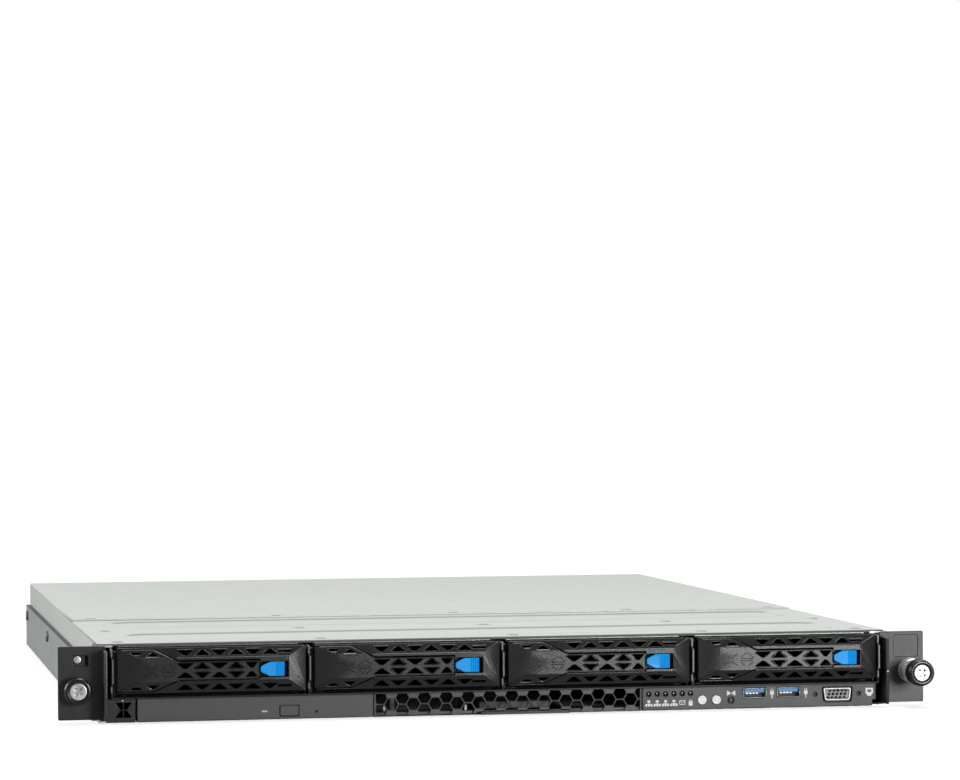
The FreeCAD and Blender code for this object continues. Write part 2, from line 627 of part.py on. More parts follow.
def rear_top_cover():
    """Removable cover, which slides back to unhook; its folded hems ride on the side walls."""
    parts = [box("-HALF", "HALF", "SEAM", "BACK", "LID", "LID + lid_sheet")]
    for sign in SIDES.values():
        x0, x1 = side(sign, "HALF - steel", "HALF")
        parts.append(box(x0, x1, "SEAM", "BACK", "WALL", "LID"))
    parts.append(box("-HALF", "HALF", "SEAM", "SEAM + steel", "WALL", "LID"))
    parts.append(box("-HALF", "HALF", "BACK - steel", "BACK", "WALL", "LID"))
    return fuse(*parts)


node("chassis_base", chassis_base())
node("rear_panel", rear_panel())
node("front_top_cover", front_top_cover())
node("cover_screws", cover_screws())
node("rear_top_cover", rear_top_cover())


# ---------------------------------------------------------------- rack ears and thumbscrews
def ear(name, sign):
    """Moulded ear: rack plate, forward wall beside the bays, and a rear tab on the side wall."""
    inner = "HALF - ear_wall_in - ear_wall"
    x0, x1 = side(sign, inner, "HALF + ear_out")
    plate = box(x0, x1, "-ear_plate", "0", "ear_bottom", "EAR_TOP")
    x0, x1 = side(sign, inner, "HALF - ear_wall_in")
    wall = box(x0, x1, "-ear_plate - ear_reach", "0", "ear_bottom", "EAR_TOP - ear_wall_drop")
    x0, x1 = side(sign, "HALF", "HALF + ear_tab")
    tab = box(x0, x1, "-ear_plate / 2", "tab_length", "rail_high + tab_lift", "EAR_TOP")
    x0, x1 = side(sign, inner + " - past", "HALF")
    rebate = box(x0, x1, "-ear_rebate", "past", "ear_bottom - past", "EAR_TOP + past")
    axis = screw_axis(name, sign)
    hole = rod("y", "collar_radius - collar_step + slip", "-ear_plate - past", "past", *axis)
    holes = [rebate, hole]
    if name == "left":
        x0, x1 = side(sign, "HALF + pocket_out", "HALF + pocket_out + pocket_width")
        holes.append(box(x0, x1, "-ear_plate - past", "pocket_depth - ear_plate",
                         "pocket_low", "pocket_high"))
        holes.append(rod("y", "pin_radius + slip", "-ear_plate", "past", "-HALF - pin_out", "pin_z"))
    return cut(fuse(plate, wall, tab), *holes)


def screw_axis(name, sign):
    """Where a thumbscrew's axis crosses the rack face."""
    return "%d * (HALF + %s_screw_out)" % (sign, name), "%s_screw_z" % name


def collar(name, sign):
    """Steel collar, pressed into the ear and standing forward of it."""
    axis = screw_axis(name, sign)
    front = rod("y", "collar_radius", "-ear_plate - collar_length", "-ear_plate", *axis)
    neck = rod("y", "collar_radius - collar_step", "-ear_plate", "0", *axis)
    bore = rod("y", "sleeve_radius + slip", "-ear_plate - collar_length - past", "past", *axis)
    return cut(fuse(front, neck), bore)


def knob_floor(out):
    """Where the knob's inner floor is, with the screw tight or sprung out by `out`."""
    return "(-ear_plate - collar_length - play - %s)" % out


def sleeve(name, sign, out):
    """Spring sleeve that slides in the collar and carries the screw."""
    start = knob_floor(out)
    return tube("y", "sleeve_radius", "screw_neck + slip", start, start + " + screw_travel",
                *screw_axis(name, sign))


def thumbscrew(name, sign, out):
    """Knob over the collar with the M5 screw through it."""
    axis = screw_axis(name, sign)
    floor = knob_floor(out)
    front = floor + " - knob_face"
    cap = rod("y", "knob_radius", front, front + " + knob_length", *axis)
    hollow = rod("y", "knob_radius - knob_wall", floor, floor + " + knob_length", *axis)
    sleeve_end = floor + " + screw_travel + play"
    neck = rod("y", "screw_neck", front, sleeve_end, *axis)
    thread = rod("y", "screw_radius", sleeve_end, sleeve_end + " + thread_length", *axis)
    return fuse(cut(cap, hollow), neck, thread)


OUT = {"left": "0", "right": "screw_travel"}
for name, sign in SIDES.items():
    node(name + "_ear", ear(name, sign))
node("ear_pin", rod("y", "pin_radius", "-ear_plate - pin_proud", "0", "-HALF - pin_out", "pin_z"))
node("thumbscrew_collars", group(*[collar(name, sign) for name, sign in SIDES.items()]))
for name, sign in SIDES.items():
    node(name + "_screw_sleeve", sleeve(name, sign, OUT[name]))
    node(name + "_thumbscrew", thumbscrew(name, sign, OUT[name]))


# ---------------------------------------------------------------- side rails
def slide_rail(sign):
    """Inner slide rail: a shallow channel against the side wall."""
    x0, x1 = side(sign, "HALF", "HALF + rail_proud")
    solid = box(x0, x1, "rail_front", "BACK - rail_stop", "rail_low", "rail_high")
    x0, x1 = side(sign, "HALF - past", "HALF + rail_proud - steel")
    hollow = box(x0, x1, "rail_front - past", "BACK", "rail_low + steel", "rail_high - steel")
    x0, x1 = side(sign, "HALF", "HALF + rail_proud + past")
    holes = [rod("x", "stud_shank + slip", x0, x1, y, "stud_z") for y in STUD_Y]
    return cut(solid, hollow, *holes)


def rail_studs():
    """Shoulder studs that hold the rails to the side walls."""
    studs = []
    for sign in SIDES.values():
        for y in STUD_Y:
            face = "HALF + rail_proud"
            x0, x1 = side(sign, face, face + " + stud_head_high")
            head = rod("x", "stud_head", x0, x1, y, "stud_z")
            x0, x1 = side(sign, "HALF", face + " - steel")
            spacer = rod("x", "stud_spacer", x0, x1, y, "stud_z")
            x0, x1 = side(sign, "HALF - 2 * steel", face + " + stud_head_high / 2")
            studs.append(fuse(head, spacer, rod("x", "stud_shank", x0, x1, y, "stud_z")))
    return group(*studs)


for name, sign in SIDES.items():
    node(name + "_slide_rail", slide_rail(sign))
node("rail_studs", rail_studs())


# ---------------------------------------------------------------- drive bays
def drive_cage():
    """Cage floor over the lower row, with a divider on each side of every bay."""
    wide = "(2 * PITCH + cage_sheet / 2)"
    parts = [box("-" + wide, wide, "-cage_front", "backplane_y", "SHELF", "SHELF + cage_sheet")]
    middle = "BEZEL_LOW + strip_foot + strip_notch"
    above = "BEZEL_HIGH - strip_top + strip_notch"
    strips = (("BEZEL_LOW", "BEZEL_LOW + strip_foot"), (middle, "BEZEL_HIGH - strip_top"),
              (above, "CAGE_TOP"))
    for line in range(len(BAYS) + 1):
        x = "(%d * PITCH)" % (line - len(BAYS) // 2)
        parts.append(box(x + " - cage_sheet / 2", x + " + cage_sheet / 2", "-cage_front", "backplane_y",
                         "SHELF", "CAGE_TOP"))
        for low, high in strips:
            parts.append(box(x + " - strip_width / 2", x + " + strip_width / 2", "-cage_front - strip",
                             "-cage_front", low, high))
    for sign in SIDES.values():
        x0, x1 = side(sign, "2 * PITCH", "HALF - steel")
        parts.append(box(x0, x1, "body_front + steel", "backplane_y", "SHELF", "SHELF + cage_sheet"))
    return fuse(*parts)


RAISED = ("raised_left - EDGE", "EDGE - raised_right",
          "BEZEL_LOW + raised_low", "BEZEL_HIGH - raised_high")


def bezel_block():
    """The carrier's full front block: a flat rim with a raised middle."""
    back = box("-EDGE", "EDGE", "-bezel_edge", "-bezel_tail", "BEZEL_LOW", "BEZEL_HIGH")
    raised = taper_y("-bezel_face", RAISED, "-bezel_edge", ("-EDGE", "EDGE", "BEZEL_LOW", "BEZEL_HIGH"))
    return fuse(back, raised)


def lever_outline(grow, y0, y1):
    """The lever's outline seen from the front, grown all round by `grow`."""
    ends = ("LEVER_LOW - %s" % grow, "LEVER_HIGH + %s" % grow)
    bar = ("BAR_LOW - %s" % grow, "BAR_HIGH + %s" % grow)
    root = box("-EDGE - past", "lever_root - EDGE", y0, y1, *ends)
    narrowing = taper_x("lever_root - EDGE", ends, "lever_neck - EDGE", bar, y0, y1)
    arm = box("lever_neck - EDGE", "EDGE - lever_tip + %s" % grow, y0, y1, *bar)
    return fuse(root, narrowing, arm)


def triangles(z, columns, up_first, width="vent_width", shift="0"):
    """A row of triangular vents, point up and point down by turns, centred on z."""
    holes = []
    for column in columns:
        low = "(%s) - vent_height / 2" % z
        high = "(%s) + vent_height / 2" % z
        wide = (width, "vent_tip") if (column % 2 == 0) == up_first else ("vent_tip", width)
        x = "vent_first - EDGE + %d * vent_pitch - %s" % (column, shift)
        holes.append(vent(x, low, high, *wide, "-bezel_face - past", "past"))
    return holes


def drive_tray():
    """Carrier: vented bezel with its latch pocket, two side rails and the lips the drive rests on."""
    front = "-bezel_face - past"
    outline = lever_outline("groove", front, "-bezel_back")
    pocket = box("EDGE - lever_tip - past", "EDGE - latch_end + latch_travel + gap", front,
                 "-bezel_back - pocket_floor",
                 "BEZEL_LOW + latch_low - gap", "BEZEL_HIGH - latch_high + gap")
    window = box(RAISED[0], "EDGE - lever_tip", "-bezel_back - past", "0",
                 RAISED[2] + " - past", RAISED[3] + " + past")
    pins = rod("z", "pivot_radius + slip", "BEZEL_LOW - past", "BEZEL_HIGH + past", "PIVOT", "-pivot_y")
    holes = [outline, pocket, window, pins]
    for row, up_first in (("BEZEL_HIGH - vent_row", False), ("BEZEL_LOW + vent_row", True)):
        holes += triangles(row, range(6), up_first)
        holes.append(box("EDGE - slot_in - slot_wide", "EDGE - slot_in", front, "past",
                         row + " - slot_high / 2", row + " + slot_high / 2"))
    parts = [cut(bezel_block(), *holes)]
    outer = "RUNNER + runner"
    for sign in SIDES.values():
        x0, x1 = side(sign, "RUNNER", outer)
        parts.append(box(x0, x1, "-bezel_back", "runner_length", "FLOOR", "WALL - runner_drop"))
        x0, x1 = side(sign, "EDGE - runner_lap", outer)
        parts.append(box(x0, x1, "-bezel_back", "drive_front - gap", "BEZEL_LOW", "WALL - runner_drop"))
        x0, x1 = side(sign, "drive_width / 2 - ledge", outer)
        parts.append(box(x0, x1, "drive_front", "runner_length", "FLOOR", "DRIVE_Z"))
    parts.append(box("-RUNNER", "RUNNER", "runner_length - crossbar_in - crossbar",
                     "runner_length - crossbar_in", "FLOOR", "DRIVE_Z"))
    return fuse(*parts)


def tray_lever():
    """Ejector lever: wide root, vented bar, and moulded pins that turn in the bezel's rims."""
    blank = common(bezel_block(), lever_outline("0", "-bezel_face - past", "-lever_back"))
    pins = rod("z", "pivot_radius", "BEZEL_LOW", "BEZEL_HIGH", "PIVOT", "-pivot_y")
    boss = rod("z", "pivot_radius + pivot_wall", "LEVER_LOW", "LEVER_HIGH", "PIVOT", "-pivot_y")
    holes = []
    for row, up_first in (("BAR_HIGH - bar_row", False), ("BAR_LOW + bar_row", True)):
        holes += triangles(row, range(4), up_first)
        holes += triangles(row, [4], up_first, "end_vent", "end_vent_in")
    return cut(fuse(blank, pins, boss), *holes)


def latch_button():
    """Arrow-shaped release button that slides away from the lever's tip."""
    y0 = "-bezel_face - latch_proud"
    y1 = "-bezel_back - pocket_floor - gap"
    low, high = "BEZEL_LOW + latch_low", "BEZEL_HIGH - latch_high"
    head = box("EDGE - latch_shoulder", "EDGE - latch_end", y0, y1, low, high)
    arrow = taper_x("EDGE - latch_tip", (low + " + latch_slope", high + " - latch_slope"),
                    "EDGE - latch_shoulder", (low, high), y0, y1)
    return fuse(head, arrow)


def hard_drive():
    """3.5 inch drive: cast base with a slightly smaller lid and the connector's notch."""
    seam = "DRIVE_Z + drive_height - drive_lid"
    base = box("-drive_width / 2", "drive_width / 2", "drive_front", "DRIVE_BACK", "DRIVE_Z", seam)
    lid = box("drive_lid_in - drive_width / 2", "drive_width / 2 - drive_lid_in",
              "drive_front + drive_lid_in", "DRIVE_BACK - drive_plug_deep - drive_lid_in",
              seam, "DRIVE_Z + drive_height")
    notch = box("-drive_plug_wide / 2", "drive_plug_wide / 2", "DRIVE_BACK - drive_plug_deep",
                "DRIVE_BACK + past", "DRIVE_Z - past", "DRIVE_Z + drive_plug_high")
    return cut(fuse(base, lid), notch)


def backplane_board():
    """Board behind the bays, with a drive connector per bay and windows for the air."""
    back = "backplane_y + board"
    parts = [box("-2 * PITCH", "2 * PITCH", "backplane_y", back, "SHELF", "WALL - backplane_top")]
    windows = []
    for bay in BAYS:
        x = "((%d - 1.5) * PITCH)" % bay
        parts.append(box(x + " - backplane_plug / 2", x + " + backplane_plug / 2",
                         "DRIVE_BACK - backplane_reach", "backplane_y",
                         "DRIVE_Z + gap", "DRIVE_Z + drive_plug_high - past"))
        windows.append(box(x + " - air_window / 2", x + " + air_window / 2", "backplane_y - past",
                           back + " + past", "air_low", "air_high"))
    return cut(fuse(*parts), *windows)


node("drive_cage", drive_cage())
for bay in BAYS:
    x = "(%d - 1.5) * PITCH" % bay
    node("drive_tray_%d" % (bay + 1), drive_tray(), x)
    node("tray_lever_%d" % (bay + 1), tray_lever(), x)
    node("latch_button_%d" % (bay + 1), latch_button(), x)
    node("hard_drive_%d" % (bay + 1), hard_drive(), x)
node("backplane_board", backplane_board())


# ---------------------------------------------------------------- lower row
ROW = ("-row_face", "ROW_BACK")
THROUGH = ("-row_face - past", "0")


def face_plate(x0, x1):
    """A moulded face plate of the lower row with a foot that stands on the base sheet."""
    face = box(x0, x1, *ROW, "row_low", "row_high")
    foot = box(x0, x1, "ROW_BACK", "foot", "steel", "steel + foot_high")
    return fuse(face, foot)


def corner_vent():
    """Small vent block at the left end, with an hourglass opening."""
    plate = face_plate("ROW_LEFT", "OPTICAL - optical_split")
    cuts = []
    for sign in (1, -1):
        near = "glass_z + %d * glass_bridge / 2" % sign
        far = "glass_z + %d * (glass_bridge / 2 + glass_high)" % sign
        ends = (near, far, "glass_waist", "glass_mouth")
        if sign < 0:
            ends = (far, near, "glass_mouth", "glass_waist")
        cuts.append(vent("ROW_LEFT + glass_x", *ends, *THROUGH))
    return cut(plate, *cuts)


def vent_grille():
    """Honeycomb grille between the optical drive and the control panel."""
    right = "PANEL - gap"
    plate = face_plate("GRILLE", right)
    middle = "((row_low + row_high) / 2)"
    cells = []
    for column in range(25):
        x = "(GRILLE + hex_start + %d * hex_pitch / 2)" % (column + 1)
        for step in ((0,) if column % 2 == 0 else (-1, 1)):
            cell = doc.addObject("Part::Prism", "cell")
            cell.Polygon = 6
            cell.Placement = FreeCAD.Placement(FreeCAD.Vector(), TURN["y"])
            bind(cell, Circumradius="(hex_pitch - sqrt(3) * hex_rib) / 3", Height="row_plate + 2 * past")
            z = "%s + %d * hex_pitch / sqrt(12)" % (middle, step)
            cells.append(place(cell, x, "-row_face - past", z))
    band = box("GRILLE + hex_side", right + " - hex_side", *THROUGH,
               "row_low + hex_edge", "row_high - hex_edge")
    slot = box("-tag_left - gap", "tag_right + gap", "-row_face - past", "foot + past", "0",
               "steel + tag_sheet + 2 * play")
    return cut(plate, common(fuse(*cells), band), slot)


def service_tag():
    """Thin card with a pull lip that slides out from under the grille."""
    top = "steel + tag_sheet"
    card = box("-tag_left", "tag_right", "-row_face", "tag_length", "steel", top)
    lip = box("-tag_left", "tag_right", "-row_face - tag_lip", "-row_face - play", "play", top + " + play")
    return fuse(card, lip)


def optical_drive_body():
    """Slim drive's steel case, open at the front."""
    right = "OPTICAL + optical_width"
    back = "optical_length - row_face"
    case = box("OPTICAL", right, "ROW_BACK + gap", back, "steel", "SHELF - play")
    hollow = box("OPTICAL + steel", right + " - steel", "-row_face", back + " - optical_end",
                 "steel + optical_sheet", "SHELF - play - cage_sheet")
    return cut(case, hollow)


def optical_drive_tray():
    """Disc tray with the drive's bezel on its front."""
    right = "OPTICAL + optical_width"
    centre = ("OPTICAL + optical_width / 2", "disc_y")
    bezel = box("OPTICAL - gap", right, *ROW, "row_low", "row_high")
    tray = box("OPTICAL + steel + slip", right + " - steel - slip", "ROW_BACK",
               "optical_length - tray_short", "steel + tray_low", "tray_high")
    disc = rod("z", "disc_radius", "disc_floor", "tray_high + past", *centre)
    hub = rod("z", "hub_radius", "disc_floor - play", "hub_top", *centre)
    key = "OPTICAL + eject_x"
    button = box(key + " - gap", key + " + eject_wide + gap", "-row_face - past", "ROW_BACK + slip",
                 "eject_low - gap", "eject_high + gap")
    pinhole = rod("y", "pinhole", "-row_face - past", "past - row_face", "OPTICAL + pinhole_x", "pinhole_z")
    return fuse(cut(fuse(bezel, tray), disc, button, pinhole), hub)


def eject_button():
    """Eject key in the optical drive's bezel."""
    key = "OPTICAL + eject_x"
    return box(key, key + " + eject_wide", "-row_face - eject_proud", "ROW_BACK - press - slip",
               "eject_low", "eject_high")


def io_panel():
    """Control panel plate with openings for lamps, buttons and sockets."""
    right = "HALF - panel_side"
    plate = face_plate("PANEL", right)
    cuts = [box(right + " - panel_notch", right + " + past", "-row_face - past", "foot + past",
                "0", "panel_notch_high")]
    for x in ("POWER", "LOCATE"):
        cuts.append(rod("y", "button_radius + slip", *THROUGH, x, "button_z"))
    cuts.append(rod("y", "reset_radius + slip", *THROUGH, "RESET", "reset_z"))
    for lamp in range(6):
        cuts.append(rod("y", "lamp_radius + slip", *THROUGH, "LAMP + %d * lamp_pitch" % lamp, "lamp_z"))
    for socket in range(2):
        x = "(PANEL + usb_x + %d * usb_pitch)" % socket
        wide, high = "(usb_wide / 2 + play)", "(usb_high / 2 + play)"
        cuts.append(box(x + " - " + wide, x + " + " + wide, *THROUGH,
                        "usb_z - " + high, "usb_z + " + high))
    cuts.append(vent("VIDEO", "video_z - video_high / 2 - gap", "video_z + video_high / 2 + gap",
                     "(video_narrow + 2 * gap)", "(video_wide + 2 * gap)", *THROUGH))
    for sign in (-1, 1):
        cuts.append(rod("y", "jack_radius", *THROUGH, "VIDEO + %d * jack_pitch / 2" % sign, "video_z"))
    return cut(plate, *cuts)


def press_button(x, z, radius):
    """Round button with a collar behind the panel that keeps it in."""
    start = "ROW_BACK + slip * 2"
    cap = rod("y", radius, "-row_face - button_proud", start + " + stop + button_stem", x, z)
    collar_ring = rod("y", radius + " + stop_wide", start, start + " + stop", x, z)
    return fuse(cap, collar_ring)


def usb_ports():
    """Two USB sockets: a folded shell with the contact tongue inside."""
    sockets = []
    for socket in range(2):
        x = "(PANEL + usb_x + %d * usb_pitch)" % socket
        half, tall = "usb_wide / 2", "usb_high / 2"
        shell = box(x + " - " + half, x + " + " + half, "-row_face - usb_shell", "usb_length",
                    "usb_z - " + tall, "usb_z + " + tall)
        half, tall = half + " - usb_shell", tall + " - usb_shell"
        hollow = box("%s - (%s)" % (x, half), x + " + " + half, "-row_face - past", "usb_length - usb_back",
                     "usb_z - (%s)" % tall, "usb_z + " + tall)
        tongue = box(x + " - tongue_wide / 2", x + " + tongue_wide / 2", "-row_face + 2 * gap",
                     "usb_length - usb_back / 2", "usb_z + tongue_low", "usb_z + tongue_high")
        sockets.append(fuse(cut(shell, hollow), tongue))
    return group(*sockets)


def vga_port():
    """Fifteen-way video socket with its D-shaped shell and the body behind the panel."""
    face = vent("VIDEO", "video_z - video_high / 2", "video_z + video_high / 2",
                "video_narrow", "video_wide", "-row_face - video_proud", "panel_board_y")
    top = "video_z + video_high / 2 + past"
    body = box("VIDEO - video_body / 2", "VIDEO + video_body / 2", "ROW_BACK", "panel_board_y",
               "video_z - video_high / 2 - past", top)
    rear = box("VIDEO - video_body / 2 + past", "VIDEO + video_body / 2 - past", "panel_board_y",
               "video_length", "panel_board_z + board", top)
    pins = []
    for row in (-1, 0, 1):
        for pin in range(-2, 3):
            x = "VIDEO + %g * pin_pitch" % (pin + row / 4)
            pins.append(rod("y", "pin_hole", "-row_face - past", "ROW_BACK + row_plate", x,
                            "video_z + %d * pin_row" % row))
    for sign in (-1, 1):
        x = "VIDEO + %d * jack_pitch / 2" % sign
        pins.append(rod("y", "jack_radius", "-row_face", "past", x, "video_z"))
    return cut(fuse(face, body, rear), *pins)


def led_lenses():
    """Six light pipes on one bar behind the panel."""
    bar = box("LAMP - lamp_bar / 2", "LAMP + 5 * lamp_pitch + lamp_bar / 2", "ROW_BACK", "ROW_BACK + past",
              "lamp_z - lamp_bar / 2", "lamp_z + lamp_bar / 2")
    pipes = [rod("y", "lamp_radius", "-row_face - slip", "ROW_BACK + past / 2",
                 "LAMP + %d * lamp_pitch" % lamp, "lamp_z") for lamp in range(6)]
    return fuse(bar, *pipes)


def io_board():
    """Board behind the control panel, on two posts, with the three key switches on its front edge."""
    left, right = "PANEL + panel_board_side", "HALF - panel_side - panel_board_right"
    back = "panel_board_y + panel_board_long"
    plate = box(left, right, "panel_board_y", back, "panel_board_z", "panel_board_z + board")
    posts = [rod("z", "post_radius", "steel", "panel_board_z + slip", x, back + " - post_in")
             for x in (left + " + post_in", right + " - post_in")]
    front = "ROW_BACK + slip * 2 + stop + button_stem + press + gap"
    lugs = [box(x + " - switch / 2", x + " + switch / 2", front, "panel_board_y + board / 2",
                "panel_board_z - play", "panel_board_z + board + 2 * gap")
            for x in ("POWER", "LOCATE", "RESET")]
    return fuse(plate, *posts, *lugs)


node("corner_vent", corner_vent())
node("vent_grille", vent_grille())
node("service_tag", service_tag())
node("optical_drive_body", optical_drive_body())
node("optical_drive_tray", optical_drive_tray())
node("eject_button", eject_button())
node("io_panel", io_panel())
node("power_button", press_button("POWER", "button_z", "button_radius"))
node("locate_button", press_button("LOCATE", "button_z", "button_radius"))
node("reset_button", press_button("RESET", "reset_z", "reset_radius"))
node("usb_ports", usb_ports())
node("vga_port", vga_port())
node("led_lenses", led_lenses())
node("io_board", io_board())


# ---------------------------------------------------------------- fans
def fan_frames():
    """Four square fan housings, each with a duct, a motor cup on three arms, and its bracket."""
    frames = []
    for fan in range(4):
        x = "((%d - 1.5) * fan_pitch)" % fan
        end = "FAN_END - fan_arm_long"
        shell = box(x + " - FAN / 2", x + " + FAN / 2", "fan_y", "FAN_END", "steel", "steel + FAN")
        duct = rod("y", "DUCT", "fan_y - past", "FAN_END + past", x, "FAN_Z")
        cup = rod("y", "fan_cup", "FAN_END - fan_cup_long", "FAN_END", x, "FAN_Z")
        upright = box(x + " - fan_arm / 2", x + " + fan_arm / 2", end, "FAN_END",
                      "FAN_Z - DUCT - gap", "FAN_Z + DUCT + gap")
        across = box(x + " - DUCT - gap", x + " + DUCT + gap", end, "FAN_END",
                     "FAN_Z - fan_arm / 2", "FAN_Z + fan_arm / 2")
        bore = rod("y", "fan_shaft + slip", "fan_y", "FAN_END + past", x, "FAN_Z")
        frames.append(cut(fuse(cut(shell, duct), cup, upright, across), bore))
    return group(*frames)


def fan_rotor():
    """Hub with seven slanted blades and the shaft that turns in the motor cup."""
    count = 7
    lean = FreeCAD.Rotation(FreeCAD.Vector(0, 0, 1), 24)
    hub = rod("y", "fan_hub", "fan_y + fan_arm_long", "FAN_END - fan_cup_long - gap - play", "0", "FAN_Z")
    shaft = rod("y", "fan_shaft", "fan_y + fan_cup_long", "FAN_END - gap - play", "0", "FAN_Z")
    blades = []
    for index in range(count):
        blade = doc.addObject("Part::Box", "blade")
        bind(blade, Length="blade", Width="fan_length - 3 * fan_cup_long")
        bind(blade, Height="DUCT - fan_tip - blade_root - slip")
        turn = FreeCAD.Rotation(FreeCAD.Vector(0, 1, 0), 360.0 * index / count)
        out = turn.multVec(FreeCAD.Vector(0, 0, 1))
        blade.Placement = FreeCAD.Placement(FreeCAD.Vector(), turn.multiply(lean))
        blades.append(place(blade, "blade_root * %.6f" % out.x, "fan_y + fan_cup_long + past",
                            "FAN_Z + blade_root * %.6f" % out.z))
    sweep = rod("y", "DUCT - fan_tip", "fan_y + fan_arm_long", "FAN_END - gap - play", "0", "FAN_Z")
    return common(fuse(hub, shaft, *blades), sweep)


node("fan_frames", fan_frames())
for fan in range(4):
    node("fan_rotor_%d" % (fan + 1), fan_rotor(), "(%d - 1.5) * fan_pitch" % fan)


# ---------------------------------------------------------------- main board
# Rear sockets: place from the board's left edge, width and height.
PORTS = ((76, 13, 13), (100, 16, 13), (120, 16, 13), (148, 31, 12), (184, 16, 13), (210, 31, 9),
         (244, 13, 13))
MEMORY_X = ["BOARD_LEFT + memory_%s + %d * memory_pitch" % (bank, slot)
            for bank in ("left", "right") for slot in range(4)]
SOCKET = ("BOARD_LEFT + socket_x", "board_front + socket_y")


def motherboard():
    """Main board with its processor socket, memory slots and the row of rear sockets."""
    x, y = SOCKET
    parts = [box("BOARD_LEFT", "BOARD_RIGHT", "board_front", "BOARD_BACK", "board_z", "BOARD_TOP"),
             box(x, x + " + socket_side", y, y + " + socket_side", "BOARD_TOP", "BOARD_TOP + socket_high")]
    slots = "board_front + memory_y"
    for x in MEMORY_X:
        parts.append(box(x + " - memory_wide / 2", x + " + memory_wide / 2",
                         slots, slots + " + memory_long", "BOARD_TOP", "BOARD_TOP + memory_high"))
    mouths = []
    for place_x, wide, high in PORTS:
        x0 = "BOARD_LEFT + %g" % (place_x - wide / 2)
        x1 = "BOARD_LEFT + %g" % (place_x + wide / 2)
        top = "BOARD_TOP + %g" % high
        parts.append(box(x0, x1, "BACK - port_in", "BACK + port_proud", "BOARD_TOP", top))
        if wide < 30:
            mouths.append(box(x0 + " + port_wall", x1 + " - port_wall", "BACK - port_mouth",
                              "BACK + port_proud + past", "BOARD_TOP + port_floor", top + " - port_floor"))
    return cut(fuse(*parts), *mouths)


def cpu_heatsink():
    """Finned aluminium heatsink seated on the processor socket."""
    left, right = SOCKET[0] + " - sink_over", SOCKET[0] + " + socket_side + sink_over"
    front, back = SOCKET[1] + " - sink_over_long", SOCKET[1] + " + socket_side + sink_over_long"
    seat = "BOARD_TOP + socket_high"
    base = box(left, right, front, back, seat, seat + " + sink_base")
    fins = []
    for fin in range(19):
        x = left + " + %d * fin_pitch" % fin
        fins.append(box(x, x + " + fin", front, back, seat + " + sink_base / 2", "WALL - sink_top"))
    return fuse(base, *fins)


def memory_modules():
    """Memory modules standing in their slots."""
    front = "board_front + memory_y + (memory_long - module_long) / 2"
    return group(*[box(x + " - module / 2", x + " + module / 2", front, front + " + module_long",
                       "BOARD_TOP + memory_high", "WALL - steel") for x in MEMORY_X])


node("motherboard", motherboard())
node("cpu_heatsink", cpu_heatsink())
node("memory_modules", memory_modules())


# ---------------------------------------------------------------- power supplies
def psu_left(unit):
    """A power supply's left side."""
    return "(PSU_WALL + steel + psu_near + %d * (psu_width + psu_gap))" % unit


def power_supply(unit):
    """Power supply: vented case with its inlet, a bail handle, and the slot for the release tab."""
    x = psu_left(unit)
    right = x + " + psu_width"
    end = "BACK + psu_near"
    case = box(x, right, end + " - psu_length", end, "psu_low", "PSU_TOP")
    low = "psu_low + inlet_low"
    inlet = box(x + " + inlet_x", x + " + inlet_x + inlet_wide", "BACK - inlet_deep", "BACK + 2 * past",
                low, low + " + inlet_high")
    blades = []
    for across, up in ((-7, 1), (7, 1), (0, 2)):
        left = x + " + inlet_x + inlet_wide / 2 - blade_wide / 2 + %d" % across
        foot = low + " + inlet_high * %d / 4" % up
        blades.append(box(left, left + " + blade_wide", "BACK - inlet_deep - past",
                          "BACK - inlet_deep + blade_long", foot, foot + " + blade_high"))
    vents = []
    for row in range(4):
        for column in range(4):
            left = right + " - square_x + %d * square_pitch" % column
            foot = "psu_low + square_z + %d * square_row" % row
            vents.append(box(left, left + " + square_wide", end + " - square_high", end + " + past",
                             foot, foot + " + square_high"))
    foot = "psu_low + bail_low"
    loop = box(right + " - bail_x", right + " - bail_x + bail", "BACK", "BACK + bail_out",
               foot, foot + " + bail_high")
    inside = box(right + " - bail_x - past", right + " - bail_x + bail + past",
                 end, "BACK + bail_out - bail_bar",
                 foot + " + bail_bar", foot + " + bail_high - bail_bar")
    slot = box(right + " - tab_slot", right + " - tab_slot + tab_slot_wide", "BACK - port_in", end + " + past",
               "psu_low + tab_low", "psu_low + tab_low + tab_high")
    return fuse(cut(case, inlet, slot, *vents), cut(loop, inside), *blades)


def psu_latch(unit):
    """Release tab, pressed towards the handle."""
    start = psu_left(unit) + " + psu_width - tab_x"
    outer = start + " + tab"
    z = ("psu_low + tab_low + gap", "psu_low + tab_low + tab_high - gap")
    blade = box(start, outer, "BACK - port_in + psu_near", "BACK + tab_out - past", *z)
    thumb = box(outer + " - tab - thumb", outer, "BACK + tab_out - thumb_long", "BACK + tab_out", *z)
    return fuse(blade, thumb)


for unit in range(2):
    node("psu_%d" % (unit + 1), power_supply(unit))
    node("psu_latch_%d" % (unit + 1), psu_latch(unit))

# ---------------------------------------------------------------- check and write
doc.recompute()
broken = [obj.Name for obj in doc.Objects if "Invalid" in obj.State or "Error" in obj.State]
broken += [piece.Label for piece in PIECES if not (piece.Shape.Solids and piece.Shape.isValid())]
if broken:
    raise SystemExit("failed objects: %s" % ", ".join(broken))
os.makedirs("parts", exist_ok=True)
for piece in PIECES:
    piece.Shape.exportStep("parts/%s.step" % piece.Label)
print(len(PIECES), "sub-parts written")
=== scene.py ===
import bmesh
import bpy
import numpy as np
from mathutils import Matrix, Vector
from mathutils.geometry import tessellate_polygon


